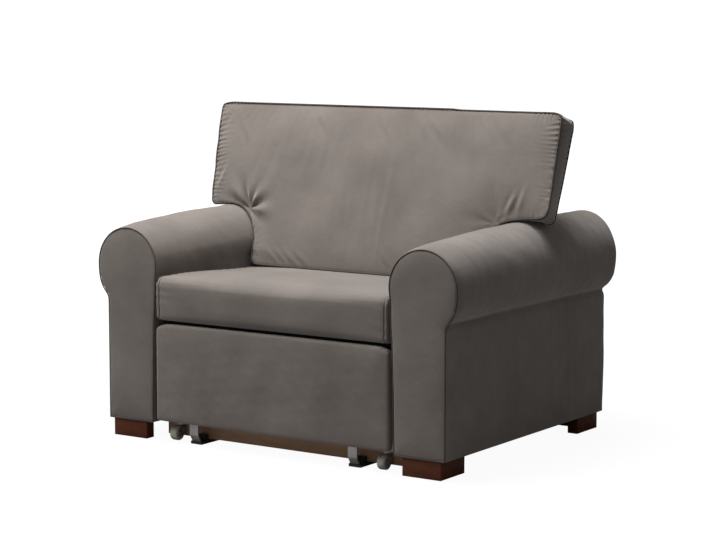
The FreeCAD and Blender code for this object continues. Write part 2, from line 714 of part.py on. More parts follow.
def hinge_arms():
    """Steel arms that reach back from the seat rails to the middle section's pivot, and their bolts."""
    arms, bolts = [], []
    outer = "hinge_arm_x + arm_plate"
    points = [
        ("hinge_arm_front", "hinge_arm_bottom"), ("seat_rear + 15", "hinge_arm_bottom"),
        ("fold_plane + eye_radius * 0.7", "hinge_height - eye_radius * 0.7"),
        ("fold_plane - eye_radius * 0.7", "hinge_height + eye_radius * 0.7"),
        ("seat_rear + 4", "seat_bottom - 8"), ("hinge_arm_front", "seat_bottom - 8"),
    ]
    for name, side in SIDES:
        start = "hinge_arm_x" if side > 0 else f"-({outer})"
        web = plate(f"{name}_hinge_arm_web", "YZ_Plane", points, "arm_plate", (start, "0", "0"))
        eye = cross_rod(f"{name}_hinge_arm_eye", side, "eye_radius", "hinge_arm_x", outer,
                        "fold_plane", "hinge_height")
        solid = fuse(f"{name}_hinge_arm_solid", [web, eye])
        bore = cross_rod(f"{name}_hinge_arm_bore", side, "pin_radius + play", "section_half", f"{outer} + 5",
                         "fold_plane", "hinge_height")
        arms.append(cut(f"{name}_hinge_arm", solid, [bore] + hinge_bolt_holes(name, side, "arm")))
        for number, depth in enumerate(hinge_bolt_spots(), start=1):
            shank = cross_rod(f"{name}_bolt_shank_{number}", side, "hinge_bolt_radius",
                              "seat_rail_outer - seat_rail_width + 2", f"{outer} + play", depth,
                              hinge_bolt_height())
            head = cross_rod(f"{name}_bolt_head_{number}", side, "hinge_bolt_head", f"{outer} + play",
                             f"{outer} + 4", depth, hinge_bolt_height())
            bolts.append(fuse(f"{name}_hinge_bolt_{number}", [shank, head]))
    keep(group("hinge_arms", arms))
    keep(group("hinge_arm_bolts", bolts))


def wheels():
    """Front wheels, their axles and the brackets that hold them to the cross board."""
    brackets, axles = [], []
    half = "wheel_width / 2"
    for name, side in SIDES:
        centre = f"{side} * wheel_x"
        low, high = f"{centre} - {half} - play - cheek", f"{centre} + {half} + play + cheek"
        plate_depth = ("front_board_depth - play - cheek", "front_board_depth - play")
        cheek_depth = ("wheel_depth - axle_radius * 2", "front_board_depth - play")
        cheek_z = ("wheel_radius - axle_radius * 1.8", "wheel_radius + axle_radius * 4")
        solid = fuse(f"{name}_bracket_solid", [
            block(f"{name}_bracket_plate", (low, high), plate_depth, (cheek_z[0], "bracket_top")),
            block(f"{name}_bracket_cheek_a", (low, f"{low} + cheek"), cheek_depth, cheek_z),
            block(f"{name}_bracket_cheek_b", (f"{high} - cheek", high), cheek_depth, cheek_z)])
        bore = rod(f"{name}_bracket_bore", "X", "axle_radius + play",
                   (f"{low} - 1", "wheel_depth", "wheel_radius"), "wheel_width + 2 * (cheek + play) + 2")
        brackets.append(cut(f"{name}_wheel_bracket", solid, [bore]))
        axles.append(rod(f"{name}_wheel_axle", "X", "axle_radius",
                         (f"{low} - 2", "wheel_depth", "wheel_radius"), "wheel_width + 2 * (cheek + play) + 4"))
        body = doc.addObject("PartDesign::Body", f"{name}_front_wheel")
        outline = [(f"-({half})", "axle_radius + play"), (half, "axle_radius + play"),
                   (half, "wheel_radius - wheel_round"), (f"{half} - wheel_round", "wheel_radius"),
                   (f"-({half}) + wheel_round", "wheel_radius"), (f"-({half})", "wheel_radius - wheel_round")]
        sketch = polygon_sketch(body, f"{name}_wheel_outline", "XY_Plane", outline)
        turned = body.newObject("PartDesign::Revolution", f"{name}_wheel_turned")
        turned.Profile = sketch
        turned.ReferenceAxis = (sketch, ["H_Axis"])
        turned.Angle = 360
        place(body, centre, "wheel_depth", "wheel_radius")
        keep(body)
    keep(group("wheel_brackets", brackets))
    keep(group("wheel_axles", axles))


def strip_legs():
    """Bent steel strip legs under the front panel, and the skids with a raised heel they stand on."""
    strips, skids = [], []
    under = "panel_bottom - 3"
    bottom = "skid_height + play"
    outline = [
        ("strip_foot", bottom), ("strip_foot + strip_thickness", bottom),
        ("strip_front + strip_thickness", "strip_bend"),
        ("strip_front + strip_thickness", f"{under} - strip_thickness"),
        ("strip_rear", f"{under} - strip_thickness"), ("strip_rear", "strip_top"),
        ("cart_front", "strip_top"), ("cart_front", under), ("strip_front", under), ("strip_front", "strip_bend"),
    ]
    for name, side in SIDES:
        strips.append(plate(f"{name}_strip_leg", "YZ_Plane", outline, "strip_width",
                            (f"{side} * strip_x - strip_width / 2", "0", "0")))
        skids.append(fuse(f"{name}_skid", [
            block(f"{name}_skid_plate", (f"{side} * strip_x - skid_width / 2", f"{side} * strip_x + skid_width / 2"),
                  ("strip_foot - 1", "strip_foot - 1 + skid_length"), ("0", "skid_height")),
            block(f"{name}_skid_heel", (f"{side} * strip_x - strip_width / 2", f"{side} * strip_x + strip_width / 2"),
                  ("heel_front", "heel_front + heel_length"), ("0", "heel_height"))]))
    keep(group("strip_legs", strips))
    keep(group("skids", skids))


# Back cushion
def back_cushion():
    """T-shaped back cushion: a leaning slab whose ears reach over the arms."""
    body = doc.addObject("PartDesign::Body", "back_cushion")
    rise = "tan(cushion_lean * 1 deg)"
    gusset_depth = "cushion_gusset * cos(cushion_lean * 1 deg)"
    gusset_drop = "cushion_gusset * sin(cushion_lean * 1 deg)"
    bottom = "bed_top + cushion_rest"

    def front_at(z):
        """Depth of the cushion's front face at a height."""
        return f"cushion_front + ({z} - bed_top) * {rise}"

    def rear_at(z):
        """Depth of the cushion's rear face at a height."""
        return f"{front_at(z)} + cushion_gusset / cos(cushion_lean * 1 deg)"

    top_front = (front_at("cushion_top"), "cushion_top")
    top_rear = (f"{front_at('cushion_top')} + {gusset_depth}", f"cushion_top - {gusset_drop}")
    middle = [(front_at(bottom), bottom), (rear_at(bottom), bottom), top_rear, top_front]
    ears = [(front_at("ear_bottom"), "ear_bottom"), (rear_at("ear_bottom"), "ear_bottom"), top_rear, top_front]
    sketch = polygon_sketch(body, "cushion_middle_outline", "YZ_Plane", middle)
    pad(body, "cushion_middle", sketch, "2 * cushion_foot_half", symmetric=True)
    sketch = polygon_sketch(body, "cushion_ears_outline", "YZ_Plane", ears)
    wide = pad(body, "cushion_ears", sketch, "2 * cushion_half", symmetric=True)
    doc.recompute()
    top = value("cushion_top")
    low_top = value(f"cushion_top - {gusset_drop}")
    picked = []
    for number, edge in enumerate(wide.Shape.Edges, start=1):
        middle_point = edge.CenterOfMass
        along = isinstance(edge.Curve, Part.Line) and abs(edge.Curve.Direction.x) > 0.9
        if along and middle_point.z > low_top - 1:
            picked.append(f"Edge{number}")
    soft = body.newObject("PartDesign::Fillet", "cushion_edges")
    soft.Base = (wide, picked)
    soft.setExpression("Radius", formula("cushion_round"))
    body.Tip = soft
    place(body)
    return keep(body)


for side_name, side_sign in SIDES:
    arm_cover(side_name, side_sign)
    arm_facing(side_name, side_sign)
    arm_boards(side_name, side_sign)
    foot(side_name, side_sign, "front")
    foot(side_name, side_sign, "rear")
    pivot_seat(side_name, side_sign)
foot_bolts()
back_panels()
section("rear_section", 1)
section("middle_section", -1)
hinge_straps()
middle_legs()
seat_unit()
hinge_arms()
wheels()
strip_legs()
back_cushion()
doc.recompute()

# Every object is checked before any file is written
for thing in doc.Objects:
    if "Invalid" in thing.State or "Error" in thing.State:
        raise ValueError(f"{thing.Label} failed: {thing.State}")
for node in NODES:
    if node.Shape.isNull() or not node.Shape.isValid() or not node.Shape.Solids:
        raise ValueError(f"{node.Label} has no valid shape")
for node in NODES:
    node.Shape.exportStep(f"parts/{node.Label}.step")
print(len(NODES), "sub-parts written")
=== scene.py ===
import bpy
import bmesh
import math
import numpy as np
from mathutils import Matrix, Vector


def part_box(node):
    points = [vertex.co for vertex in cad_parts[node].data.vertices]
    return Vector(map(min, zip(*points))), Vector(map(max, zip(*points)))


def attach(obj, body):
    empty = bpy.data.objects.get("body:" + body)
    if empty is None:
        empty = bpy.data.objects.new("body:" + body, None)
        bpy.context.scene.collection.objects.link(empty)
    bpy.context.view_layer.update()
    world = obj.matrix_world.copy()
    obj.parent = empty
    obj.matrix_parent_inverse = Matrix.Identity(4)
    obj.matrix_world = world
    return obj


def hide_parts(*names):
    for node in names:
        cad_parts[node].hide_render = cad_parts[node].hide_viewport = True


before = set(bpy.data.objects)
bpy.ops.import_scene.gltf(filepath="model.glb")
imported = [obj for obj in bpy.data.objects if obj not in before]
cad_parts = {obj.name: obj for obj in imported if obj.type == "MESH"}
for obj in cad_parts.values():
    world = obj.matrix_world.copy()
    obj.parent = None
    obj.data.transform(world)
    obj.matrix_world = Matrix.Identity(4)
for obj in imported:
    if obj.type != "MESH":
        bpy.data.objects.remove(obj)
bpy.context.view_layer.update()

bl_info = {
    "name": "Convertible Chair Bed",
    "version": (1, 0, 0),
    "blender": (4, 5, 0),
    "location": "3D View > Sidebar > Chair Bed",
    "description": "Upholstery, hardware, finishes and stage of a convertible chair bed",
    "category": "Object",
}

SIDES = (("left", -1), ("right", 1))
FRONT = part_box("seat_cushion")[0].y
ROLL_SWELL = 0.0045             # how far a roll's cloth swells behind its front welt

# Depths behind the arms' fronts at which the back cushion meets the rolls: its creases, its outline
# and the faces that lie on them
CREASE_DEPTH, EAR_DEPTH, REST_DEPTH = 0.48, 0.52, 0.53

PICTURE_WIDTH = 716             # pixels across the photograph
SENSOR_WIDTH = 36               # millimetres across the camera's sensor


# Sizes and colours that a user would change

class ChairSizes(bpy.types.PropertyGroup):
    """Sizes of the soft pieces"""
    welt_radius: bpy.props.FloatProperty(
        name="Welt radius", description="Radius of the sewn welt cord", default=0.0018, unit="LENGTH")
    cushion_welt_radius: bpy.props.FloatProperty(
        name="Cushion welt radius", description="Radius of the back cushion's welt", default=0.0030,
        unit="LENGTH")
    facing_puff: bpy.props.FloatProperty(
        name="Facing puff", description="How far an arm's front panel stands out at its middle",
        default=0.006, unit="LENGTH")
    cushion_lean: bpy.props.FloatProperty(
        name="Back cushion lean", description="Lean of the back cushion from upright",
        default=math.radians(17.5), subtype="ANGLE")
    cushion_gusset: bpy.props.FloatProperty(
        name="Back cushion gusset", description="Thickness of the back cushion at its edge",
        default=0.088, unit="LENGTH")
    seat_edge_radius: bpy.props.FloatProperty(
        name="Seat front radius", description="Radius of the seat cushion's front edge",
        default=0.024, unit="LENGTH")


class ChairColours(bpy.types.PropertyGroup):
    """Colours of the finishes"""
    velvet: bpy.props.FloatVectorProperty(
        name="Velvet", description="Colour of the upholstery fabric", default=(0.150, 0.130, 0.116),
        size=3, subtype="COLOR", min=0, max=1)
    # The welt is the velvet darkened: painted shade of the seam it lies in.
    welt: bpy.props.FloatVectorProperty(
        name="Welt", description="Colour of the welt, in the shade of its seam",
        default=(0.060, 0.051, 0.045), size=3, subtype="COLOR", min=0, max=1)
    ticking: bpy.props.FloatVectorProperty(
        name="Ticking", description="Colour of the mattress cover", default=(0.42, 0.385, 0.34),
        size=3, subtype="COLOR", min=0, max=1)
    foot_wood: bpy.props.FloatVectorProperty(
        name="Foot wood", description="Colour of the stained feet", default=(0.100, 0.029, 0.013),
        size=3, subtype="COLOR", min=0, max=1)
    board: bpy.props.FloatVectorProperty(
        name="Cross board", description="Colour of the brown cross board", default=(0.50, 0.29, 0.17),
        size=3, subtype="COLOR", min=0, max=1)
    raw_wood: bpy.props.FloatVectorProperty(
        name="Raw wood", description="Colour of the frame's raw boards", default=(0.50, 0.34, 0.19),
        size=3, subtype="COLOR", min=0, max=1)
    zinc: bpy.props.FloatVectorProperty(
        name="Zinc", description="Colour of the plated steel", default=(0.46, 0.44, 0.43),
        size=3, subtype="COLOR", min=0, max=1)
    wheel: bpy.props.FloatVectorProperty(
        name="Wheel", description="Colour of the wheels' moulded plastic", default=(0.40, 0.375, 0.32),
        size=3, subtype="COLOR", min=0, max=1)


class ChairStage(bpy.types.PropertyGroup):
    """The camera's place and lens"""
    yaw: bpy.props.FloatProperty(
        name="Camera turn", description="Turn of the camera from the front towards the right",
        default=math.radians(34.04), subtype="ANGLE")
    pitch: bpy.props.FloatProperty(
        name="Camera dip", description="Dip of the camera below the horizon",
        default=math.radians(7.03), subtype="ANGLE")
    place: bpy.props.FloatVectorProperty(
        name="Camera place", description="Place of the camera", default=(3.3763, FRONT - 4.5619, 1.2086),
        size=3, subtype="TRANSLATION")
    focal_pixels: bpy.props.FloatProperty(
        name="Focal length", description="Focal length in pixels of the 716 pixel wide picture",
        default=2136)


# Small helpers

def sizes():
    """The scene's sizes."""
    return bpy.context.scene.chair_sizes


def colours():
    """The scene's colours."""
    return bpy.context.scene.chair_colours


def deselect():
    """Leave object mode with nothing selected."""
    if bpy.context.object and bpy.context.object.mode != "OBJECT":
        bpy.ops.object.mode_set(mode="OBJECT")
    bpy.ops.object.select_all(action="DESELECT")


def choose(piece):
    """Select one piece alone and make it active."""
    deselect()
    piece.select_set(True)
    bpy.context.view_layer.objects.active = piece


def finish_modifier(piece, kind, **settings):
    """Add a modifier and apply it."""
    choose(piece)
    modifier = piece.modifiers.new(kind.title(), kind)
    for key, setting in settings.items():
        setattr(modifier, key, setting)
    bpy.ops.object.modifier_apply(modifier=modifier.name)


def mesh_piece(name, corners, faces):
    """A new piece from corners and faces, with its normals pointing outwards."""
    mesh = bpy.data.meshes.new(name)
    mesh.from_pydata([tuple(corner) for corner in corners], [], faces)
    piece = bpy.data.objects.new(name, mesh)
    bpy.context.collection.objects.link(piece)
    outwards(piece)
    return piece


def outwards(piece):
    """Merge doubles and turn the normals outwards."""
    mesh = bmesh.new()
    mesh.from_mesh(piece.data)
    bmesh.ops.remove_doubles(mesh, verts=mesh.verts, dist=1e-6)
    bmesh.ops.recalc_face_normals(mesh, faces=mesh.faces)
    mesh.to_mesh(piece.data)
    mesh.free()


def points_of(piece):
    """The piece's corners as an array."""
    flat = np.empty(len(piece.data.vertices) * 3)
    piece.data.vertices.foreach_get("co", flat)
    return flat.reshape(-1, 3)


def normals_of(piece):
    """The piece's corner normals as an array."""
    return np.array([vertex.normal for vertex in piece.data.vertices])


def move_points(piece, points):
    """Give the piece's corners new places."""
    piece.data.vertices.foreach_set("co", np.asarray(points, float).ravel())
    piece.data.update()


def smooth(piece, angle=math.radians(50)):
    """Shade a piece smooth, except at edges sharper than the angle."""
    choose(piece)
    bpy.ops.object.shade_smooth_by_angle(angle=angle)
    deselect()


def block(name, centre, size):
    """A box of a size round a centre."""
    deselect()
    bpy.ops.mesh.primitive_cube_add(size=1, location=centre)
    piece = bpy.context.object
    piece.name = name
    piece.scale = size
    bpy.ops.object.transform_apply(location=True, rotation=False, scale=True)
    return piece


def break_edges(piece, width):
    """Bevel a piece's sharp edges a little and shade it."""
    finish_modifier(piece, "BEVEL", width=width, segments=2, limit_method="ANGLE",
                    angle_limit=math.radians(40))
    smooth(piece, math.radians(35))


def dress(piece, material, slot, body, *nodes):
    """Give a finished piece its material and body, and hide the nodes it stands for. The slot is not used.
    """
    piece.data.materials.clear()
    piece.data.materials.append(material)
    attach(piece, body)
    if nodes:
        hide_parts(*nodes)


def line_distance(points, line):
    """Distance from each point to the nearest stretch of a line of points."""
    points, line = np.asarray(points, float), np.asarray(line, float)
    nearest = np.full(len(points), 1e9)
    for start, end in zip(line[:-1], line[1:]):
        along = end - start
        share = np.clip((points - start) @ along / (along @ along + 1e-18), 0, 1)
        gap = np.linalg.norm(points - start - share[:, None] * along, axis=1)
        nearest = np.minimum(nearest, gap)
    return nearest


def seam_distance(points, seams):
    """Distance from each point to the nearest of several seams."""
    return np.min([line_distance(points, seam) for seam in seams], axis=0)


def ripple(points, scale, seed):
    """A smooth, repeatable unevenness between about -1 and 1."""
    waves = np.random.default_rng(seed)
    total = np.zeros(len(points))
    for _ in range(7):
        way = waves.normal(size=3)
        way *= (0.6 + 0.8 * waves.random()) * 2 * math.pi / (scale * np.linalg.norm(way))
        total += np.sin(points @ way + waves.random() * 2 * math.pi)
    return total / 3.5


def tube(name, path, radius, closed=True, sides=8):
    """A round cord of mesh along a path of points."""
    curve = bpy.data.curves.new(name, "CURVE")
    curve.dimensions = "3D"
    spline = curve.splines.new("POLY")
    spline.points.add(len(path) - 1)
    for point, place in zip(spline.points, path):
        point.co = (*place, 1)
    spline.use_cyclic_u = closed
    curve.bevel_depth = radius
    curve.bevel_resolution = sides // 4
    curve.use_fill_caps = not closed
    holder = bpy.data.objects.new(name + "_path", curve)
    bpy.context.collection.objects.link(holder)
    bpy.context.view_layer.update()
    mesh = bpy.data.meshes.new_from_object(holder.evaluated_get(bpy.context.evaluated_depsgraph_get()))
    bpy.data.objects.remove(holder)
    bpy.data.curves.remove(curve)
    mesh.name = name
    piece = bpy.data.objects.new(name, mesh)
    bpy.context.collection.objects.link(piece)
    outwards(piece)
    smooth(piece, math.radians(80))
    return piece


def even_points(line, step, closed=False, count=None):
    """The same line with evenly spaced points, by their distance or their count."""
    line = np.asarray(line, float)
    if closed:
        line = np.vstack([line, line[:1]])
    lengths = np.concatenate([[0], np.cumsum(np.linalg.norm(np.diff(line, axis=0), axis=1))])
    count = count or max(2, int(round(lengths[-1] / step)))
    marks = np.linspace(0, lengths[-1], count + 1)
    spaced = np.column_stack([np.interp(marks, lengths, line[:, axis]) for axis in range(line.shape[1])])
    return spaced[:-1] if closed else spaced


def soften(line, width, step, held=2):
    """Round an open line's corners, leaving its first and last points where they are."""
    reach = int(3 * width / step)
    weights = np.exp(-0.5 * (np.arange(-reach, reach + 1) * step / width) ** 2)
    weights /= weights.sum()
    padded = np.vstack([2 * line[0] - line[reach:0:-1], line, 2 * line[-1] - line[-2:-reach - 2:-1]])
    soft = np.column_stack([np.convolve(padded[:, axis], weights, "valid") for axis in range(line.shape[1])])
    soft[:held], soft[-held:] = line[:held], line[-held:]
    return soft


def arc(centre, radius, start, end, count):
    """Points of an arc round a centre, from one angle to another."""
    return [(centre[0] + radius * math.cos(angle), centre[1] + radius * math.sin(angle))
            for angle in np.linspace(start, end, count)]


def mirrored(half):
    """A closed outline from the corners of its right half, listed from the bottom up."""
    return half + [(-x, z) for x, z in reversed(half)]


def upright(line, y, side=1):
    """Places of a line of X and Z at a depth, mirrored where the side is -1."""
    return [(side * x, y, z) for x, z in line]


def sideways(line, x):
    """Places of a line of Y and Z at a distance across."""
    return [(x, y, z) for y, z in line]


def rounded_loop(corners, radius, step=0.005):
    """A closed outline with eased corners."""
    line = even_points(corners, step, closed=True)
    width = 0.73 * radius
    reach = int(3 * width / step) + 1
    weights = np.exp(-0.5 * (np.arange(-reach, reach + 1) * step / width) ** 2)
    weights /= weights.sum()
    return sum(weight * np.roll(line, at - reach, axis=0) for at, weight in enumerate(weights))


def walled(name, near, far):
    """A closed piece between two outlines with the same number of points."""
    count = len(near)
    faces = [tuple(range(count)), tuple(range(count, 2 * count))]
    faces += [(at, (at + 1) % count, (at + 1) % count + count, at + count) for at in range(count)]
    return mesh_piece(name, list(near) + list(far), faces)


def settle_on(piece, path, out=0.0, calm=3):
    """A closed path laid on a piece's surface and smoothed along its length."""
    laid = []
    for point in path:
        _, spot, normal, _ = piece.closest_point_on_mesh(Vector(point))
        laid.append(spot + normal * out)
    laid = np.array([tuple(point) for point in laid])
    for _ in range(calm):
        laid = 0.5 * laid + 0.25 * (np.roll(laid, 1, axis=0) + np.roll(laid, -1, axis=0))
    return laid


# Cushions

def swell(piece, seams, voxel, pressure, cap, slack=-0.015, pin_width=0.009, frames=20):
    """Fill a closed piece like a cushion: cloth under pressure, held along its seams.

    No point moves further than the cap, and one subdivision ends it.
    """
    start_voxel = voxel
    finish_modifier(piece, "REMESH", mode="VOXEL", voxel_size=start_voxel)
    before = points_of(piece)
    near = seam_distance(before, seams)
    pins = piece.vertex_groups.new(name="seams")
    for index in np.flatnonzero(near < pin_width):
        pins.add([int(index)], 1.0, "REPLACE")
    cloth = piece.modifiers.new("Cloth", "CLOTH")
    rules = cloth.settings
    rules.quality = 5
    rules.mass = 0.25
    rules.tension_stiffness = 12
    rules.compression_stiffness = 12
    rules.shear_stiffness = 5
    rules.bending_stiffness = 0.15
    rules.use_pressure = True
    rules.uniform_pressure_force = pressure
    rules.shrink_min = slack
    rules.vertex_group_mass = "seams"
    rules.effector_weights.gravity = 0
    cloth.point_cache.frame_start = 1
    cloth.point_cache.frame_end = frames
    scene = bpy.context.scene
    for number in range(1, frames + 1):
        scene.frame_set(number)
    choose(piece)
    bpy.ops.object.modifier_apply(modifier=cloth.name)
    scene.frame_set(1)
    moved = points_of(piece) - before
    length = np.linalg.norm(moved, axis=1)
    share = np.minimum(1, cap / np.maximum(length, 1e-9))
    move_points(piece, before + moved * share[:, None])
    piece.vertex_groups.clear()
    finish_modifier(piece, "SMOOTH", factor=0.4, iterations=1)
    finish_modifier(piece, "SUBSURF", levels=1, render_levels=1)
    smooth(piece, math.radians(180))


def sink_seam(piece, seams, depth, width):
    """Draw the surface in along its seams, as thread does."""
    points = points_of(piece)
    near = seam_distance(points, seams)
    draw = depth * np.exp(-0.5 * (near / width) ** 2)
    move_points(piece, points - normals_of(piece) * draw[:, None])


def gather(piece, seams, height, pitch, reach, seed=3, where=None):
    """Small puckers that run from a seam into the fabric and die away."""
    points = points_of(piece)
    near = seam_distance(points, seams)
    phase = np.zeros(len(points))
    offset = 0.0
    best = np.full(len(points), 1e9)
    for seam in seams:
        seam = np.asarray(seam, float)
        for start, end in zip(seam[:-1], seam[1:]):
            along = end - start
            length = np.linalg.norm(along)
            share = (points - start) @ along / (length ** 2 + 1e-18)
            gap = np.linalg.norm(points - start - np.clip(share, 0, 1)[:, None] * along, axis=1)
            closer = gap < best
            best[closer] = gap[closer]
            phase[closer] = offset + share[closer] * length
            offset += length
    uneven = 0.55 + 0.45 * ripple(points, 0.16, seed)
    wave = np.sin(2 * math.pi * phase / pitch + 2.2 * ripple(points, 0.11, seed + 1))
    fade = np.exp(-near / reach) * np.clip(near / 0.004, 0, 1)
    lift = height * uneven * wave * fade
    if where is not None:
        lift *= where(points)
    move_points(piece, points + normals_of(piece) * lift[:, None])


# Finishes

class Finish:
    """A material with its nodes, made step by step."""

    def __init__(self, name):
        self.material = bpy.data.materials.new(name)
        self.material.use_nodes = True
        self.nodes = self.material.node_tree.nodes
        self.links = self.material.node_tree.links
        self.shader = self.nodes["Principled BSDF"]
        self.place = self.nodes.new("ShaderNodeTexCoord").outputs["Object"]

    def fixed(self, **values):
        """Set the shader's own values."""
        for key, setting in values.items():
            self.shader.inputs[key.replace("_", " ")].default_value = setting

    def stretched(self, scale):
        """Object coordinates, stretched by a scale in X, Y and Z."""
        mapping = self.nodes.new("ShaderNodeMapping")
        mapping.inputs["Scale"].default_value = scale
        self.links.new(self.place, mapping.inputs["Vector"])
        return mapping.outputs["Vector"]

    def noise(self, scale, detail=2, stretch=None):
        """Noise, 0 to 1."""
        texture = self.nodes.new("ShaderNodeTexNoise")
        texture.inputs["Scale"].default_value = scale
        texture.inputs["Detail"].default_value = detail
        self.links.new(self.stretched(stretch) if stretch else self.place, texture.inputs["Vector"])
        return texture.outputs["Fac"]

    def shades(self, source, low, high, low_at=0.3, high_at=0.7):
        """A colour that follows a texture from one shade to another."""
        ramp = self.nodes.new("ShaderNodeValToRGB")
        ramp.color_ramp.elements[0].position = low_at
        ramp.color_ramp.elements[0].color = (*low, 1)
        ramp.color_ramp.elements[1].position = high_at
        ramp.color_ramp.elements[1].color = (*high, 1)
        self.links.new(source, ramp.inputs["Fac"])
        return ramp.outputs["Color"]

    def blend(self, first, second, share, kind="MULTIPLY"):
        """One colour laid over another."""
        mix = self.nodes.new("ShaderNodeMix")
        mix.data_type = "RGBA"
        mix.blend_type = kind
        mix.inputs["Factor"].default_value = share
        self.links.new(first, mix.inputs["A"])
        self.links.new(second, mix.inputs["B"])
        return mix.outputs["Result"]

    def colour(self, source):
        """The shader's colour from a node."""
        self.links.new(source, self.shader.inputs["Base Color"])

    def roughness(self, source, low, high):
        """Roughness that follows a texture."""
        span = self.nodes.new("ShaderNodeMapRange")
        span.inputs["To Min"].default_value = low
        span.inputs["To Max"].default_value = high
        self.links.new(source, span.inputs["Value"])
        self.links.new(span.outputs["Result"], self.shader.inputs["Roughness"])

    def bump(self, *layers):
        """Bumps from pairs of a texture and its depth in metres."""
        previous = None
        for source, depth in layers:
            node = self.nodes.new("ShaderNodeBump")
            node.inputs["Strength"].default_value = 1
            node.inputs["Distance"].default_value = depth
            self.links.new(source, node.inputs["Height"])
            if previous:
                self.links.new(previous, node.inputs["Normal"])
            previous = node.outputs["Normal"]
        self.links.new(previous, self.shader.inputs["Normal"])


def shade(colour, factor):
    """A lighter or darker version of a colour."""
    return tuple(min(1, channel * factor) for channel in colour)


def velvet_finish(name, colour, sheen=0.55):
    """Short-pile velvet: patches where the nap lies another way, a fine weave and a soft sheen."""
    finish = Finish(name)
    finish.fixed(Roughness=0.88, Sheen_Weight=sheen, Sheen_Roughness=0.42, Specular_IOR_Level=0.18)
    finish.shader.inputs["Sheen Tint"].default_value = (0.95, 0.90, 0.86, 1)
    nap = finish.noise(7, 4)
    patch = finish.shades(nap, shade(colour, 0.86), shade(colour, 1.13))
    threads = finish.noise(520, 2, (1, 1, 0.35))
    speckle = finish.shades(threads, (0.86, 0.86, 0.86), (1, 1, 1))
    finish.colour(finish.blend(patch, speckle, 0.8))
    pile = finish.noise(900, 2)
    soft = finish.noise(42, 3)
    finish.bump((soft, 0.0009), (threads, 0.00022), (pile, 0.00012))
    return finish.material


def ticking_finish(name, colour):
    """Plain woven mattress cover with a faint stripe."""
    finish = Finish(name)
    finish.fixed(Roughness=0.85, Sheen_Weight=0.2, Specular_IOR_Level=0.2)
    stripe = finish.nodes.new("ShaderNodeTexWave")
    stripe.bands_direction = "X"
    stripe.inputs["Scale"].default_value = 12
    finish.links.new(finish.place, stripe.inputs["Vector"])
    bands = finish.shades(stripe.outputs["Fac"], shade(colour, 0.82), colour, 0.05, 0.25)
    weave = finish.noise(700, 2)
    finish.colour(finish.blend(bands, finish.shades(weave, (0.85, 0.85, 0.85), (1, 1, 1)), 0.7))
    finish.bump((weave, 0.0003), (finish.noise(60, 3), 0.0006))
    return finish.material


def wood_finish(name, colour, grain, roughness, gloss=0.4, contrast=0.75):
    """Wood whose grain runs along one axis: the stretch is low along it."""
    finish = Finish(name)
    finish.fixed(Specular_IOR_Level=gloss)
    rings = finish.noise(14, 4, grain)
    fibres = finish.noise(90, 3, grain)
    base = finish.shades(rings, shade(colour, contrast), shade(colour, 1.15))
    finish.colour(finish.blend(base, finish.shades(fibres, (0.72, 0.72, 0.72), (1, 1, 1)), 0.8))
    finish.roughness(fibres, roughness - 0.08, roughness + 0.1)
    finish.bump((fibres, 0.0004))
    return finish.material


def steel_finish(name, colour):
    """Zinc-plated steel: cloudy, with light scratches."""
    finish = Finish(name)
    finish.fixed(Metallic=0.95)
    cloud = finish.noise(35, 4)
    scratch = finish.noise(160, 3, (1, 6, 1))
    finish.colour(finish.shades(cloud, shade(colour, 0.78), shade(colour, 1.15)))
    finish.roughness(scratch, 0.28, 0.52)
    finish.bump((scratch, 0.0001))
    return finish.material


def plastic_finish(name, colour, roughness):
    """Moulded plastic with a fine grain and faint scuffs."""
    finish = Finish(name)
    scuffs = finish.noise(50, 5)
    grain = finish.noise(1400, 1)
    finish.colour(finish.shades(scuffs, shade(colour, 0.8), shade(colour, 1.25)))
    finish.roughness(scuffs, roughness - 0.1, roughness + 0.12)
    finish.bump((grain, 0.0001), (scuffs, 0.0002))
    return finish.material


MADE = {}


def finishes():
    """All finishes by name, made once."""
    if MADE:
        return MADE
    tones = colours()
    MADE["velvet"] = velvet_finish("velvet", tones.velvet)
    # Every welt and seam cord gets this darker, less sheeny velvet: painted shade of its seam.
    MADE["welt"] = velvet_finish("welt_velvet_painted_shade", tones.welt, 0.15)
    MADE["ticking"] = ticking_finish("ticking", tones.ticking)
    MADE["foot"] = wood_finish("foot_wood", tones.foot_wood, (1, 1, 6), 0.42, 0.15)
    MADE["board"] = wood_finish("cross_board", tones.board, (0.15, 1, 1), 0.6)
    MADE["wood_x"] = wood_finish("raw_wood_along_x", tones.raw_wood, (0.12, 1, 1), 0.7)
    MADE["wood_y"] = wood_finish("raw_wood_along_y", tones.raw_wood, (1, 0.12, 1), 0.7)
    MADE["wood_z"] = wood_finish("raw_wood_along_z", tones.raw_wood, (1, 1, 0.12), 0.7)
    MADE["beech"] = wood_finish("beech_slats", (0.60, 0.40, 0.22), (0.1, 1, 1), 0.5)
    MADE["zinc"] = steel_finish("zinc_plate", tones.zinc)
    MADE["black"] = plastic_finish("black_plastic", (0.018, 0.018, 0.019), 0.5)
    MADE["wheel"] = plastic_finish("wheel_plastic", tones.wheel, 0.5)
    # A near-black cloth without sheen, darker than the welt: painted shade for the gaps round the seat.
    MADE["gap_shade"] = velvet_finish("painted_gap_shade", shade(tones.welt, 0.25), 0)
    MADE["hub"] = plastic_finish("hub_plastic", (0.03, 0.03, 0.03), 0.45)
    return MADE


# Arms

def arm_measures():
    """Places of the right arm's facing, roll and slab, from the frame."""
    low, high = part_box("right_arm_facing")
    cover_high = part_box("right_arm_cover")[1]
    board_low, board_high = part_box("right_arm_front_board")
    radius = (high.x - low.x) / 2
    padding = 0.0123
    return {
        "x": high.x - radius, "z": high.z - radius, "radius": radius, "foot": low.z,
        "inner": board_low.x - padding, "outer": board_high.x + padding,
        "front": low.y, "rear": cover_high.y,
        "rise": cover_high.z - high.z, "spread": cover_high.x - high.x,
    }


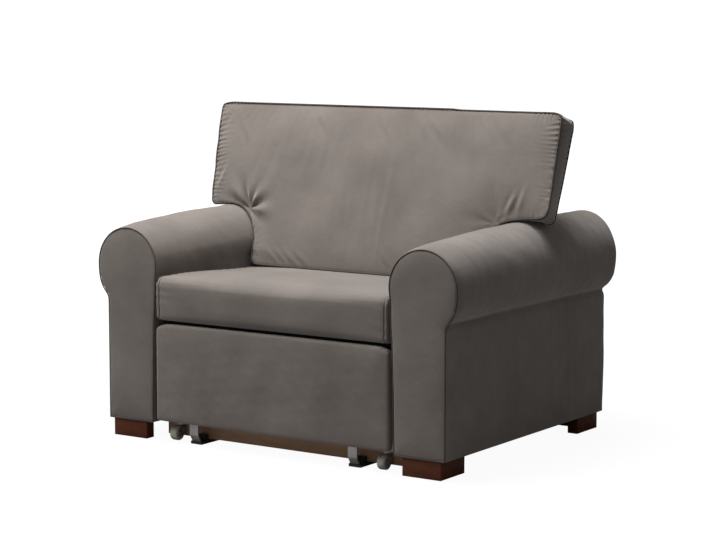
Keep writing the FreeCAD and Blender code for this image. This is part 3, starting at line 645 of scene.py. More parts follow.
def roll_rise(depth):
    """How far the roll's top has risen, and its outer side spread, at a depth, besides its swelling."""
    arm = arm_measures()
    rise_length, rise_at_rear, spread_length = 0.28, 0.956, 0.25
    rise_share = (1 - math.exp(-depth / rise_length)) / rise_at_rear
    spread_share = min(1, depth / spread_length)
    return (arm["rise"] - ROLL_SWELL) * rise_share, max(0, arm["spread"] - ROLL_SWELL) * spread_share


def roll_section(depth):
    """Centre and radii of the roll at a depth: across, up, half width and half height."""
    arm = arm_measures()
    rise, spread = roll_rise(depth)
    wide = arm["radius"] + ROLL_SWELL
    return arm["x"] + spread / 2, arm["z"] + rise / 2, wide + spread / 2, wide + rise / 2


def roll_outline(fullness, rounding, crease, step=0.005):
    """One arm's outline in X and Z, from its inner bottom corner over the roll to its outer one."""
    arm = arm_measures()
    x, z, radius = arm["x"], arm["z"], arm["radius"]
    heights = [0, 0.09, 0.15, 0.22, 0.30, 0.35, 0.39, 0.41]
    fill = [0.002, 0.004, 0.005, 0.0065, 0.0095, 0.0125, 0.0142, 0.0147]
    inner_angle = math.acos((arm["inner"] - fill[-1] - x) / radius)
    neck_rise = z - radius * math.sin(inner_angle) - arm["foot"]
    line = [(arm["inner"] - np.interp(rise, heights, fill), arm["foot"] + rise)
            for rise in np.linspace(0, neck_rise - 0.003, 40)]
    line += arc((x, z), radius, 2 * math.pi - inner_angle, 0, 90)
    for angle in np.linspace(0, math.pi / 2, 60):
        across = x + radius * math.cos(angle) ** (2 / fullness)
        if across < arm["outer"]:
            break
        line.append((across, z - radius * 1.025 * math.sin(angle) ** (2 / fullness)))
    neck = line[-1][1]
    line += [(arm["outer"], neck - 0.002), (arm["outer"], arm["foot"])]
    line = soften(even_points(line, step), rounding, step)
    if crease:
        gap = np.abs(line[:, 1] - (neck - 0.004))
        beside = (line[:, 0] > x) & (line[:, 1] < z)
        line[:, 0] -= np.where(beside, crease * np.exp(-(gap / 0.009) ** 2), 0)
    return line


def outline_normals(line):
    """Unit normals of an open outline, pointing out of the arm."""
    along = np.gradient(line, axis=0)
    along /= np.linalg.norm(along, axis=1)[:, None]
    return np.column_stack([-along[:, 1], along[:, 0]])


def arm_body(name, side):
    """The padded slab and roll of one arm: it swells behind the front welt and is rounded at the rear."""
    arm = arm_measures()
    line = roll_outline(2.25, 0.005, 0.006)
    out = outline_normals(line)
    depth = arm["rear"] + 0.002 - arm["front"]
    welt_back = 0.0055
    edge = np.array([welt_back, 0.0075, 0.010, 0.014, 0.020])
    tail = np.array([0.016, 0.010, 0.006, 0.003, 0.001, 0.0])
    stations = np.concatenate([edge, np.arange(0.030, depth - 0.022, 0.010), depth - tail])
    drawn = np.interp(stations, edge, [0.0012, 0.0004, 0.0, 0.0, 0.0])
    round_off = np.interp(depth - stations, tail[::-1], [0.0075, 0.0050, 0.0030, 0.0015, 0.0005, 0.0])
    neck, top = arm["z"] - 0.086, arm["z"] + arm["radius"]
    over = np.clip((line[:, 1] - neck) / (top - neck), 0, 1)
    aside = np.clip((line[:, 0] - arm["x"]) / arm["radius"], 0, 1) * np.clip(over * 4, 0, 1)
    height = np.clip((line[:, 1] - arm["foot"]) / 0.36, 0, 1)
    belly = 0.0035 * np.sin(math.pi * height) * (line[:, 1] < neck) * (line[:, 0] > arm["x"])
    full = np.clip((line[:, 1] - np.where(line[:, 0] < arm["x"], arm["z"] - 0.015, neck)) / 0.04, 0, 1)
    foot_free = np.clip((line[:, 1] - arm["foot"]) / 0.012, 0, 1)
    rows = []
    for station, in_front, at_rear in zip(stations, drawn, round_off):
        behind = station - welt_back
        rise, spread = roll_rise(behind)
        shift = belly * math.sin(math.pi * min(1, station / depth)) - in_front - at_rear
        shift = shift + ROLL_SWELL * full * (1 - math.exp(-max(0, behind) / 0.018))
        place = line + out * shift[:, None] * np.column_stack([np.ones(len(line)), foot_free])
        place[:, 0] += spread * aside
        place[:, 1] += rise * over
        bulge = 0.003 * np.sin(math.pi * height) * max(0, 1 - (depth - station) / 0.03)
        rows.append(np.column_stack([side * place[:, 0], arm["front"] + station + bulge, place[:, 1]]))
    corners = np.vstack(rows)
    wave = ripple(corners, 0.19, 11 + side)
    fine = ripple(corners, 0.055, 21 + side)
    normal = np.tile(np.column_stack([side * out[:, 0], np.zeros(len(line)), out[:, 1]]), (len(rows), 1))
    calm = np.clip((corners[:, 2] - arm["foot"]) / 0.05, 0, 1)
    corners += normal * ((0.0012 * wave + 0.0004 * fine) * calm)[:, None]
    count = len(line)
    faces = []
    for row in range(len(rows) - 1):
        for at in range(count):
            first, after = row * count + at, row * count + (at + 1) % count
            faces.append((first, after, after + count, first + count))
    faces.append(tuple(range(count)))
    faces.append(tuple(range((len(rows) - 1) * count, len(rows) * count)))
    piece = mesh_piece(f"{name}_arm_upholstery", corners, faces)
    smooth(piece, math.radians(45))
    return piece


def arm_front(name, side):
    """The scroll-shaped front panel of one arm, puffed, with its edge tucked behind the welt."""
    arm = arm_measures()
    line = roll_outline(2.7, 0.009, 0)
    front_y, back_y = arm["front"] + 0.0015, arm["front"] + 0.0125
    tucked = line - outline_normals(line) * 0.0010
    piece = walled(f"{name}_arm_front_panel", upright(tucked, front_y, side), upright(tucked, back_y, side))
    finish_modifier(piece, "REMESH", mode="VOXEL", voxel_size=0.0045)
    finish_modifier(piece, "SMOOTH", factor=0.5, iterations=3)
    points = points_of(piece)
    rim = np.vstack([line, line[:1]])
    near = line_distance(np.column_stack([side * points[:, 0], points[:, 2]]), rim)
    puff = sizes().facing_puff * (1 - np.exp(-near / 0.022))
    facing = np.clip((back_y - points[:, 1]) / (back_y - front_y), 0, 1)
    points[:, 1] -= facing * (puff - 0.0035 + 0.0006 * ripple(points, 0.13, 31 + side))
    points[:, 1] = np.maximum(points[:, 1], arm["front"] - 0.002)
    move_points(piece, points)
    finish_modifier(piece, "SUBSURF", levels=1, render_levels=1)
    smooth(piece, math.radians(180))
    return piece


def arm_welt(name, side):
    """The welt sewn round one arm's front panel."""
    arm = arm_measures()
    line = roll_outline(2.7, 0.009, 0)
    line = line - outline_normals(line) * 0.0006
    return tube(f"{name}_arm_welt", upright(line, arm["front"] + 0.0052, side), sizes().welt_radius)


class CHAIR_OT_arms(bpy.types.Operator):
    """Upholster both arms: slab and roll, front panel and welt"""
    bl_idname = "chair.arms"
    bl_label = "Arms"

    def execute(self, context):
        look = finishes()
        for name, side in SIDES:
            body = arm_body(name, side)
            dress(body, look["velvet"], "velvet", "chair", f"{name}_arm_cover")
            panel = arm_front(name, side)
            dress(panel, look["velvet"], "velvet", "chair", f"{name}_arm_facing")
            dress(arm_welt(name, side), look["welt"], "velvet", "chair")
        return {"FINISHED"}


# Back cushion

def cushion_place(x, up, back):
    """Place in the back cushion: across, up along its leaning face, and back through its thickness."""
    lean = sizes().cushion_lean
    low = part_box("back_cushion")[0]
    return (x, low.y + up * math.sin(lean) + back * math.cos(lean),
            low.z + up * math.cos(lean) - back * math.sin(lean))


def cushion_up(z, back):
    """Distance along the cushion's leaning face to a height, at a depth through its thickness."""
    lean = sizes().cushion_lean
    return (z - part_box("back_cushion")[0].z + back * math.sin(lean)) / math.cos(lean)


def ear_corners(side, back):
    """Outer corners of an ear at a depth through the cushion: low and high, each across and in height."""
    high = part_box("back_cushion")[1]
    share = back / sizes().cushion_gusset
    front = ((-0.020, 0.615), (0.009, 0.926)) if side < 0 else ((0.010, 0.6385), (0.005, 0.9255))
    rear = ((-0.014, 0.604), (0.001, 0.902))
    return [(high.x + near[0] + share * (far[0] - near[0]), near[1] + share * (far[1] - near[1]))
            for near, far in zip(front, rear)]


def cushion_outline(back, sink=0.009):
    """Outline of the cushion at a depth through it: foot, ears that lie over the rolls, and top."""
    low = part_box("back_cushion")[0]
    x, z, wide, tall = roll_section(EAR_DEPTH)
    wide, tall = wide + 0.002, tall + 0.002
    foot_half = min(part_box("seat_cushion")[1].x - 0.003, x - wide - 0.001)
    loop = []
    for side in (1, -1):
        (ear_x, ear_z), (top_x, top_z) = ear_corners(side, back)
        line = [(foot_half, cushion_up(low.z - sink, 0) + back * 0.30),
                (foot_half, cushion_up(z - 0.01, back))]
        for angle in np.linspace(math.pi, math.pi / 2, 30):
            line.append((x + wide * math.cos(angle), cushion_up(z + tall * math.sin(angle), back)))
        for share in np.linspace(0.1, 1, 12):
            across = x + share * (ear_x - x)
            on_roll = z + tall * math.sqrt(max(0, 1 - ((across - x) / wide) ** 2))
            line.append((across, cushion_up(max(on_roll, z + tall + share * (ear_z - z - tall)), back)))
        line.append((top_x, cushion_up(top_z, back)))
        loop += line if side > 0 else [(-across, up) for across, up in reversed(line)]
    return even_points(np.array(loop), 0, closed=True, count=480)


def cushion_loop(inset, back):
    """The outline at a depth, drawn in by an inset and with its corners eased, as places."""
    loop = cushion_outline(back)
    along = np.roll(loop, -1, axis=0) - np.roll(loop, 1, axis=0)
    along /= np.linalg.norm(along, axis=1)[:, None]
    loop = loop + np.column_stack([-along[:, 1], along[:, 0]]) * inset
    for _ in range(16):
        loop = 0.5 * loop + 0.25 * (np.roll(loop, 1, axis=0) + np.roll(loop, -1, axis=0))
    return [cushion_place(x, up, back) for x, up in loop]


def edge_pull(points):
    """Where the cushion's fabric puckers: strongly beside the ends, little along top and bottom."""
    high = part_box("back_cushion")[1]
    ends = np.clip((np.abs(points[:, 0]) - (high.x - 0.09)) / 0.06, 0, 1)
    return 0.25 + 0.75 * ends


# Creases of the back cushion's face: across, height, slant in radians and depth of the fold
CREASES = (
    (-0.47, 0.845, 2.1, 0.0034), (-0.20, 0.880, 2.3, 0.0020), (0.02, 0.870, 2.2, 0.0026),
    (0.14, 0.880, 2.2, 0.0026), (0.20, 0.865, 2.3, 0.0028), (0.36, 0.875, 2.2, 0.0032),
    (0.41, 0.870, 2.2, 0.0030), (0.47, 0.67, 1.15, 0.0036), (0.50, 0.68, 1.3, 0.0030),
    (-0.53, 0.70, 1.2, 0.0028), (-0.36, 0.500, 2.45, 0.0032), (-0.33, 0.495, 2.45, 0.0030),
    (-0.30, 0.490, 2.5, 0.0030), (-0.265, 0.488, 2.5, 0.0026), (-0.23, 0.485, 2.5, 0.0024),
    (-0.19, 0.485, 2.5, 0.0018), (0.10, 0.50, 2.3, 0.0014),
)


def cushion_pulls(piece):
    """Creases that fan out where the front is pulled in beside the rolls, and drawn corners."""
    points = points_of(piece)
    normals = normals_of(piece)
    x, z, _, tall = roll_section(CREASE_DEPTH)
    lift = np.zeros(len(points))
    frontal = np.clip(-normals[:, 1], 0, 1)
    for side, strength, turn in ((-1, 1.0, 0.4), (1, 0.15, 1.3)):
        centre = (side * (x - 0.068), z + tall * 0.95)
        across = (points[:, 0] - centre[0]) * -side
        up = points[:, 2] - centre[1]
        reach = np.hypot(across, up)
        angle = np.arctan2(up, across)
        fade = np.exp(-((reach - 0.034) / 0.048) ** 2) * np.clip(reach / 0.018, 0, 1)
        fold = np.cos(8.0 * angle + turn) + 0.6 * np.cos(5.0 * angle + 2.1 * turn)
        lift += strength * (0.0050 * fold * fade - 0.014 * np.exp(-(reach / 0.034) ** 2)) * frontal
    for place_x, place_z, slant, height in CREASES:
        across, up = points[:, 0] - place_x, points[:, 2] - place_z
        along = across * math.cos(slant) + up * math.sin(slant)
        beside = -across * math.sin(slant) + up * math.cos(slant)
        lift += height * np.exp(-(along / 0.032) ** 2 - (beside / 0.008) ** 2) * frontal
        lift -= height * 0.7 * np.exp(-(along / 0.036) ** 2 - ((beside - 0.014) / 0.009) ** 2) * frontal
    move_points(piece, points + normals * lift[:, None])


def rest_on_rolls(piece):
    """Lift what would sink into the arms' rolls, so the ears lie on them."""
    points = points_of(piece)
    x, z, wide, tall = roll_section(REST_DEPTH)
    gap = 0.0015
    away = np.abs(points[:, 0])
    across = np.clip((away - x) / (wide + gap), -1, 1)
    surface = z + (tall + gap) * np.sqrt(1 - across ** 2)
    over = (away > x - wide * 0.98) & (points[:, 2] > z) & (points[:, 2] < surface)
    points[over, 2] = surface[over]
    beside = (away > x - wide - gap) & (points[:, 2] <= z + 0.02) & (points[:, 2] > z - 0.10)
    points[beside, 0] = np.sign(points[beside, 0]) * (x - wide - gap)
    move_points(piece, points)


class CHAIR_OT_back_cushion(bpy.types.Operator):
    """Fill and sew the loose T-shaped back cushion"""
    bl_idname = "chair.back_cushion"
    bl_label = "Back cushion"

    def execute(self, context):
        look = finishes()
        gusset = sizes().cushion_gusset
        loops = [cushion_loop(0.002, 0.002), cushion_loop(0.002, gusset - 0.002)]
        seams = [loop + loop[:1] for loop in loops]
        piece = walled("back_cushion_pad", *loops)
        swell(piece, [seam[::3] for seam in seams], voxel=0.0075, pressure=4.6, cap=0.024, slack=-0.003)
        gather(piece, [seam[::2] for seam in seams], height=0.0034, pitch=0.014, reach=0.022, seed=5,
               where=edge_pull)
        cushion_pulls(piece)
        rest_on_rolls(piece)
        dress(piece, look["velvet"], "velvet", "back_cushion", "back_cushion")
        for name, loop in zip(("front", "rear"), loops):
            path = settle_on(piece, loop, 0.0006)
            welt = tube(f"back_cushion_{name}_welt", path, sizes().cushion_welt_radius)
            dress(welt, look["welt"], "velvet", "back_cushion")
        return {"FINISHED"}


# Seat cushion

def seat_profile():
    """Side outline of the seat cushion in Y and Z, from the front bottom over the top to the rear."""
    low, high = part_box("seat_cushion")
    radius, rear_radius, cut = sizes().seat_edge_radius, 0.015, 0.008
    line = [(low.y, low.z + cut)]
    line += arc((low.y + radius, high.z - radius), radius, math.pi, math.pi / 2, 12)
    line += arc((high.y - rear_radius, high.z - rear_radius), rear_radius, math.pi / 2, 0, 6)
    line += [(high.y, low.z + cut), (high.y - cut, low.z), (low.y + cut, low.z)]
    return line


class CHAIR_OT_seat_cushion(bpy.types.Operator):
    """Fill and sew the seat cushion"""
    bl_idname = "chair.seat_cushion"
    bl_label = "Seat cushion"

    def execute(self, context):
        look = finishes()
        low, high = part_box("seat_cushion")
        line = even_points(seat_profile(), 0.006, closed=True)
        half = high.x + 0.001
        piece = walled("seat_cushion_pad", sideways(line, -half), sideways(line, half))
        seams = []
        for side in (-1, 1):
            seam = sideways(line, side * (half - 0.011))
            seams.append(seam + seam[:1])
        swell(piece, [seam[::2] for seam in seams], voxel=0.0075, pressure=1.4, cap=0.006, slack=0.004,
              pin_width=0.014)
        points = points_of(piece)
        points[:, 2] = np.maximum(points[:, 2], low.z - 0.001)
        points[:, 0] = np.clip(points[:, 0], -high.x - 0.0015, high.x + 0.0015)
        out = np.maximum(low.y - points[:, 1], 0)
        points[:, 1] += out - 0.0035 * np.tanh(out / 0.008)
        back = np.clip((points[:, 1] - low.y - 0.10) / 0.33, 0, 1)
        share = np.clip((points[:, 2] - low.z) / (high.z - low.z), 0, 1)
        points[:, 2] += 0.003 * share * (1 - back) - 0.012 * share * back * back * (3 - 2 * back)
        move_points(piece, points)
        gather(piece, seams, height=0.0010, pitch=0.030, reach=0.020, seed=8)
        sink_seam(piece, seams, depth=0.0020, width=0.0030)
        dress(piece, look["velvet"], "velvet", "seat_unit", "seat_cushion")
        for name, seam in zip(("left", "right"), seams):
            path = settle_on(piece, seam[:-1], 0.0002)
            welt = tube(f"seat_cushion_{name}_seam", path, 0.0016)
            dress(welt, look["welt"], "velvet", "seat_unit")
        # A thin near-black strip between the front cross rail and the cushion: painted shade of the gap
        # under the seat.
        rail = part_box("seat_cross_rails")
        strip_low, strip_high = rail[1].z + 0.0003, low.z - 0.0013
        strip = block("seat_gap_shade_strip", (0, rail[0].y + 0.0025, (strip_low + strip_high) / 2),
                      (2 * high.x - 0.006, 0.002, strip_high - strip_low))
        dress(strip, look["gap_shade"], "velvet", "seat_unit")
        return {"FINISHED"}


# Panels

def padded_panel(name, outline, y_front, y_back, voxel, puff, towards, seed, finer=True):
    """An upholstered flat panel: rounded edges and a slightly raised middle."""
    piece = walled(name, upright(outline, y_front), upright(outline, y_back))
    finish_modifier(piece, "REMESH", mode="VOXEL", voxel_size=voxel)
    finish_modifier(piece, "SMOOTH", factor=0.5, iterations=4)
    points = points_of(piece)
    near = line_distance(points[:, [0, 2]], np.vstack([outline, outline[:1]]))
    face = y_front if towards < 0 else y_back
    share = np.clip(1 - np.abs(points[:, 1] - face) / (y_back - y_front), 0, 1)
    lift = puff * (1 - np.exp(-near / 0.03))
    lift = lift + 0.0007 * ripple(points, 0.12, seed) + 0.0003 * ripple(points, 0.04, seed + 1)
    points[:, 1] += towards * share * lift
    move_points(piece, points)
    if finer:
        finish_modifier(piece, "SUBSURF", levels=1, render_levels=1)
    smooth(piece, math.radians(180))
    return piece


class CHAIR_OT_panels(bpy.types.Operator):
    """Upholster the front panel and the back panel"""
    bl_idname = "chair.panels"
    bl_label = "Front and back panels"

    def execute(self, context):
        look = finishes()
        low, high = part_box("front_panel_cover")
        board_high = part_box("front_panel_board")[1]
        half = [(high.x, low.z - 0.003), (high.x - 0.002, high.z - 0.011), (high.x - 0.034, high.z)]
        outline = rounded_loop(mirrored(half), 0.008)
        front = padded_panel("front_panel_upholstery", outline, low.y + 0.0015, board_high.y,
                             voxel=0.0055, puff=0.0035, towards=-1, seed=41)
        dress(front, look["velvet"], "velvet", "seat_unit", "front_panel_cover", "front_panel_board")
        low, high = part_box("back_cover")
        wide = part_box("back_bottom_rail")[1].x
        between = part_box("back_posts")[1].x
        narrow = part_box("rear_section_mattress")[1].x - 0.008
        neck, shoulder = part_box("right_arm_facing")[1].z - 0.1666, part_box("back_posts")[1].z
        half = [(wide, low.z), (wide, neck), (between, neck + 0.012), (between, shoulder),
                (narrow, shoulder + 0.012), (narrow, high.z)]
        outline = rounded_loop(mirrored(half), 0.011)
        back = padded_panel("back_panel_upholstery", outline, low.y, high.y,
                            voxel=0.004, puff=0.003, towards=1, seed=51, finer=False)
        dress(back, look["velvet"], "velvet", "chair", "back_cover")
        return {"FINISHED"}


# Mattress sections

class CHAIR_OT_mattresses(bpy.types.Operator):
    """Fill the mattresses of the two folding sections"""
    bl_idname = "chair.mattresses"
    bl_label = "Mattresses"

    def execute(self, context):
        look = finishes()
        for name in ("rear_section", "middle_section"):
            low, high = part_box(f"{name}_mattress")
            lean = 1 if name == "rear_section" else -1
            inset = 0.004
            base = low.y if lean > 0 else high.y
            crown = high.y if lean > 0 else low.y
            outline = [(base + lean * inset, high.z - inset), (crown - lean * inset, high.z - inset),
                       (crown - lean * inset, low.z + 0.03), (crown - lean * 0.012, low.z + 0.012),
                       (crown - lean * 0.03, low.z + inset), (base + lean * inset, low.z + inset)]
            line = even_points(outline, 0.008, closed=True)
            half = high.x - inset
            piece = walled(f"{name}_pad", sideways(line, -half), sideways(line, half))
            edges = []
            for y in (base + lean * inset, crown - lean * inset):
                edges.append([(-half, y, low.z + 0.02), (half, y, low.z + 0.02), (half, y, high.z - inset),
                              (-half, y, high.z - inset), (-half, y, low.z + 0.02)])
            swell(piece, edges, voxel=0.011, pressure=2.0, cap=0.004, slack=-0.01, pin_width=0.012,
                  frames=12)
            gather(piece, edges[1:], height=0.0010, pitch=0.035, reach=0.03, seed=14)
            points = points_of(piece)
            points[:, 0] = np.clip(points[:, 0], low.x, high.x)
            points[:, 1] = np.clip(points[:, 1], low.y - 0.001, high.y + 0.001)
            move_points(piece, points)
            dress(piece, look["ticking"], "ticking", name, f"{name}_mattress")
            tape = rounded_loop([(-half, low.z + 0.03), (half, low.z + 0.03), (half, high.z - inset),
                                 (-half, high.z - inset)], 0.012, 0.01)
            path = upright(tape, crown - lean * 0.004)
            dress(tube(f"{name}_tape", path, 0.0028), look["ticking"], "ticking", name)
        return {"FINISHED"}


# Feet

def wooden_foot(name):
    """An L-shaped wooden foot: a block with a wing drawn out of it and its edges broken."""
    low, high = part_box(name)
    right, rear = low.x > 0, low.y > 0
    wall = 0.032
    x_near = (high.x - wall, high.x) if right else (low.x, low.x + wall)
    centre = ((x_near[0] + x_near[1]) / 2, (low.y + high.y) / 2, (low.z + high.z) / 2)
    piece = block(name + "_block", centre, (wall, high.y - low.y, high.z - low.z))
    bpy.ops.object.mode_set(mode="EDIT")
    bpy.ops.mesh.select_all(action="SELECT")
    cut_y = high.y - wall if rear else low.y + wall
    bpy.ops.mesh.bisect(plane_co=(0, cut_y, 0), plane_no=(0, 1, 0))
    bpy.ops.mesh.select_all(action="DESELECT")
    bpy.ops.object.mode_set(mode="OBJECT")
    inner_x = x_near[0] if right else x_near[1]
    for face in piece.data.polygons:
        within = face.center.y > cut_y if rear else face.center.y < cut_y
        face.select = abs(face.center.x - inner_x) < 1e-4 and within
    reach = (high.x - low.x - wall) * (-1 if right else 1)
    bpy.ops.object.mode_set(mode="EDIT")
    bpy.ops.mesh.extrude_region_move(TRANSFORM_OT_translate={"value": (reach, 0, 0)})
    bpy.ops.object.mode_set(mode="OBJECT")
    outwards(piece)
    break_edges(piece, 0.0012)
    return piece


class CHAIR_OT_feet(bpy.types.Operator):
    """Make the four stained wooden feet"""
    bl_idname = "chair.feet"
    bl_label = "Feet"

    def execute(self, context):
        for place in ("front", "rear"):
            for name, _ in SIDES:
                node = f"{place}_{name}_foot"
                dress(wooden_foot(node), finishes()["foot"], "dark_wood", "chair", node)
        return {"FINISHED"}


# Wheels and frame

def wheel_piece(name):
    """A moulded wheel with a tread, a recessed hub and a web without spokes."""
    low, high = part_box(name)
    centre = (low + high) / 2
    radius, width = (high.z - low.z) / 2, high.x - low.x
    profile = [(0.0044, -0.5), (0.009, -0.5), (0.0095, -0.36), (0.0145, -0.34), (0.0155, -0.5),
               (radius - 0.0035, -0.5), (radius - 0.001, -0.42), (radius, -0.30)]
    profile += [(out, -across) for out, across in reversed(profile)]
    ring = 40
    corners, faces = [], []
    for step in range(ring):
        angle = 2 * math.pi * step / ring
        for out, across in profile:
            corners.append((centre.x + across * width, centre.y + out * math.cos(angle),
                            centre.z + out * math.sin(angle)))
    count = len(profile)
    for step in range(ring):
        after = (step + 1) % ring
        for at in range(count):
            faces.append((step * count + at, step * count + (at + 1) % count,
                          after * count + (at + 1) % count, after * count + at))
    piece = mesh_piece(name + "_tyre", corners, faces)
    smooth(piece, math.radians(30))
    return piece


def hub_cap(name, outward, body):
    """A dark round cap on one side of a wheel's hub."""
    low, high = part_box(name)
    centre = (low + high) / 2
    deselect()
    place = (centre.x + outward * ((high.x - low.x) / 2 - 0.0006), centre.y, centre.z)
    bpy.ops.mesh.primitive_cylinder_add(vertices=28, radius=0.0086, depth=0.0028, location=place,
                                        rotation=(0, math.pi / 2, 0))
    piece = bpy.context.object
    piece.name = f"{name}_hub_{'right' if outward > 0 else 'left'}"
    bpy.ops.object.transform_apply(location=True, rotation=True, scale=True)
    break_edges(piece, 0.0008)
    dress(piece, finishes()["hub"], "black_plastic", body)


class CHAIR_OT_wheels(bpy.types.Operator):
    """Make the two front wheels with their dark hubs"""
    bl_idname = "chair.wheels"
    bl_label = "Wheels"

    def execute(self, context):
        for name, _ in SIDES:
            node = f"{name}_front_wheel"
            dress(wheel_piece(node), finishes()["wheel"], "wheel_plastic", f"{name}_wheel", node)
            for outward in (-1, 1):
                hub_cap(node, outward, f"{name}_wheel")
        return {"FINISHED"}


class CHAIR_OT_frame(bpy.types.Operator):
    """Give the frame's boards, slats, straps and hardware their finishes"""
    bl_idname = "chair.frame"
    bl_label = "Frame finishes"

    def execute(self, context):
        look = finishes()
        groups = {
            "board": ("cart_front_board",),
            "black": ("skids", "middle_leg_pads", "rear_glides"),
            # The seat rails and the cart's side boards get the near-black gap finish: painted shade of the
            # gaps beside the seat and the front panel.
            "gap_shade": ("seat_cross_rails", "seat_side_rails", "cart_side_boards"),
            "beech": ("rear_section_slats", "middle_section_slats", "seat_slats"),
            "wood_x": ("back_board", "back_bottom_rail", "cart_rear_board", "rear_section_cross_rails",
                       "middle_section_cross_rails"),
            "wood_z": ("back_posts", "rear_section_side_rails", "middle_section_side_rails"),
        }
        chosen = {node: finish for finish, nodes in groups.items() for node in nodes}
        metal = ("strap", "hinge_arm", "strip_legs", "bracket", "axle", "bolt", "leg_frame", "pivot_block")
        for node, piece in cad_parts.items():
            plain = "zinc" if any(word in node for word in metal) else "wood_y"
            piece.data.materials.clear()
            piece.data.materials.append(look[chosen.get(node, plain)])
        return {"FINISHED"}


# Stage

FLOOR_GREY = 0.22               # how light the floor is to the lamps, so it throws little back
FLOOR_GLOW = 1.12               # how bright the camera sees it
WORLD_LIGHT = 0.225

# Each soft light's name, place, target, size and power
LIGHTS = (
    ("key_light", (-1.7, -2.2, 3.5), (0, 0, 0.45), 1.8, 108),
    ("fill_light", (2.6, -4.0, 1.6), (0, 0, 0.4), 3.0, 5),
    ("top_light", (-0.5, -0.4, 3.5), (0, 0, 0.5), 1.8, 165),
)


def new_node(tree, kind, **values):
    """A new node, with values for its inputs."""
    node = tree.nodes.new(kind)
    for key, setting in values.items():
        node.inputs[key.replace("_", " ")].default_value = setting
    return node


def soft_light(name, place, target, size, power):
    """A square soft light at a place, turned to a target."""
    lamp = bpy.data.lights.new(name, "AREA")
    lamp.shape = "SQUARE"
    lamp.size = size
    lamp.energy = power
    holder = bpy.data.objects.new(name, lamp)
    bpy.context.collection.objects.link(holder)
    holder.location = place
    holder.rotation_euler = (Vector(target) - Vector(place)).to_track_quat("-Z", "Y").to_euler()


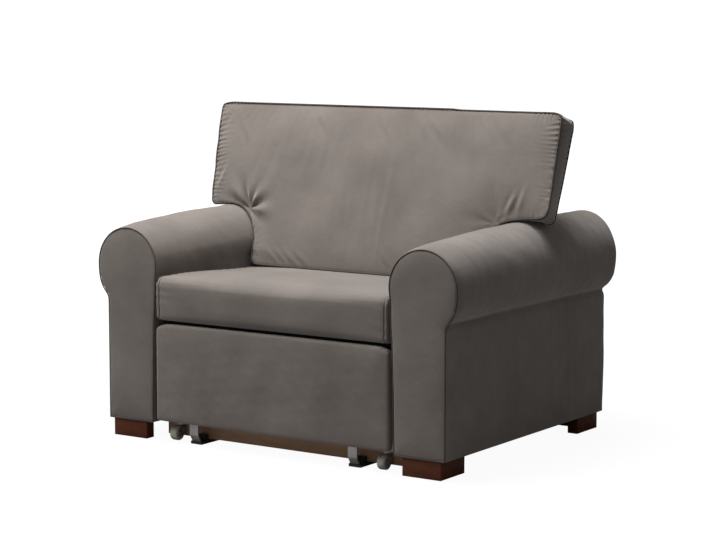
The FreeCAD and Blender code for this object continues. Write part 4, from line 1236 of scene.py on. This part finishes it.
class CHAIR_OT_stage(bpy.types.Operator):
    """Set the pale floor, the soft studio lights and the camera"""
    bl_idname = "chair.stage"
    bl_label = "Stage"

    def execute(self, context):
        deselect()
        bpy.ops.mesh.primitive_plane_add(size=60, location=(0, 0, -0.0005))
        floor = bpy.context.object
        floor.name = "studio_floor"
        bpy.ops.object.transform_apply(location=True, rotation=False, scale=True)
        paint = bpy.data.materials.new("studio_floor")
        paint.use_nodes = True
        tree, links = paint.node_tree, paint.node_tree.links
        base = tree.nodes["Principled BSDF"]
        base.inputs["Base Color"].default_value = (FLOOR_GREY, FLOOR_GREY, FLOOR_GREY, 1)
        base.inputs["Roughness"].default_value = 0.95
        glow = new_node(tree, "ShaderNodeEmission", Color=(1, 1, 1, 1), Strength=FLOOR_GLOW)
        path = new_node(tree, "ShaderNodeLightPath")
        place = new_node(tree, "ShaderNodeTexCoord")
        away = new_node(tree, "ShaderNodeVectorMath")
        away.operation = "LENGTH"
        share = new_node(tree, "ShaderNodeMapRange", From_Min=0.7, From_Max=2.2, To_Min=0.85, To_Max=1)
        seen = new_node(tree, "ShaderNodeMath")
        seen.operation = "MULTIPLY"
        mix = new_node(tree, "ShaderNodeMixShader")
        links.new(place.outputs["Object"], away.inputs[0])
        links.new(away.outputs["Value"], share.inputs["Value"])
        links.new(share.outputs["Result"], seen.inputs[0])
        links.new(path.outputs["Is Camera Ray"], seen.inputs[1])
        links.new(seen.outputs[0], mix.inputs["Fac"])
        links.new(base.outputs[0], mix.inputs[1])
        links.new(glow.outputs[0], mix.inputs[2])
        links.new(mix.outputs[0], tree.nodes["Material Output"].inputs["Surface"])
        floor.data.materials.append(paint)

        world = bpy.data.worlds.new("studio")
        bpy.context.scene.world = world
        world.use_nodes = True
        tree, links = world.node_tree, world.node_tree.links
        lit = tree.nodes["Background"]
        lit.inputs["Color"].default_value = (1, 1, 1, 1)
        lit.inputs["Strength"].default_value = WORLD_LIGHT
        seen = new_node(tree, "ShaderNodeBackground", Color=(1, 1, 1, 1), Strength=1)
        path = new_node(tree, "ShaderNodeLightPath")
        mix = new_node(tree, "ShaderNodeMixShader")
        links.new(path.outputs["Is Camera Ray"], mix.inputs["Fac"])
        links.new(lit.outputs[0], mix.inputs[1])
        links.new(seen.outputs[0], mix.inputs[2])
        links.new(mix.outputs[0], tree.nodes["World Output"].inputs["Surface"])

        for light in LIGHTS:
            soft_light(*light)

        setup = bpy.context.scene.chair_stage
        camera = bpy.data.cameras.new("camera")
        camera.sensor_width = SENSOR_WIDTH
        camera.lens = SENSOR_WIDTH * setup.focal_pixels / PICTURE_WIDTH
        camera.clip_end = 200
        holder = bpy.data.objects.new("camera", camera)
        bpy.context.collection.objects.link(holder)
        holder.location = setup.place
        level = math.cos(setup.pitch)
        ahead = Vector((-math.sin(setup.yaw) * level, math.cos(setup.yaw) * level, -math.sin(setup.pitch)))
        holder.rotation_euler = ahead.to_track_quat("-Z", "Y").to_euler()
        bpy.context.scene.camera = holder
        bpy.context.scene.view_settings.view_transform = "Standard"
        return {"FINISHED"}


class CHAIR_PT_panel(bpy.types.Panel):
    """Lists the chair bed's pieces"""
    bl_idname = "CHAIR_PT_panel"
    bl_label = "Chair Bed"
    bl_space_type = "VIEW_3D"
    bl_region_type = "UI"
    bl_category = "Chair Bed"

    def draw(self, context):
        for operator in OPERATORS:
            self.layout.operator(operator.bl_idname)


GROUPS = (("chair_sizes", ChairSizes), ("chair_colours", ChairColours), ("chair_stage", ChairStage))
OPERATORS = (CHAIR_OT_frame, CHAIR_OT_stage, CHAIR_OT_arms, CHAIR_OT_back_cushion, CHAIR_OT_seat_cushion,
             CHAIR_OT_panels, CHAIR_OT_mattresses, CHAIR_OT_feet, CHAIR_OT_wheels)


def register():
    """Register the groups, the operators and the panel."""
    for name, group in GROUPS:
        bpy.utils.register_class(group)
        setattr(bpy.types.Scene, name, bpy.props.PointerProperty(type=group))
    for operator in OPERATORS:
        bpy.utils.register_class(operator)
    bpy.utils.register_class(CHAIR_PT_panel)


def unregister():
    """Take all of them away again."""
    bpy.utils.unregister_class(CHAIR_PT_panel)
    for operator in reversed(OPERATORS):
        bpy.utils.unregister_class(operator)
    for name, group in reversed(GROUPS):
        delattr(bpy.types.Scene, name)
        bpy.utils.unregister_class(group)


def main():
    """Dress the frame piece by piece and set the stage."""
    register()
    bpy.ops.chair.frame()
    bpy.ops.chair.stage()
    bpy.ops.chair.arms()
    bpy.ops.chair.back_cushion()
    bpy.ops.chair.seat_cushion()
    bpy.ops.chair.panels()
    bpy.ops.chair.mattresses()
    bpy.ops.chair.feet()
    bpy.ops.chair.wheels()


if __name__ == "__main__":
    main()
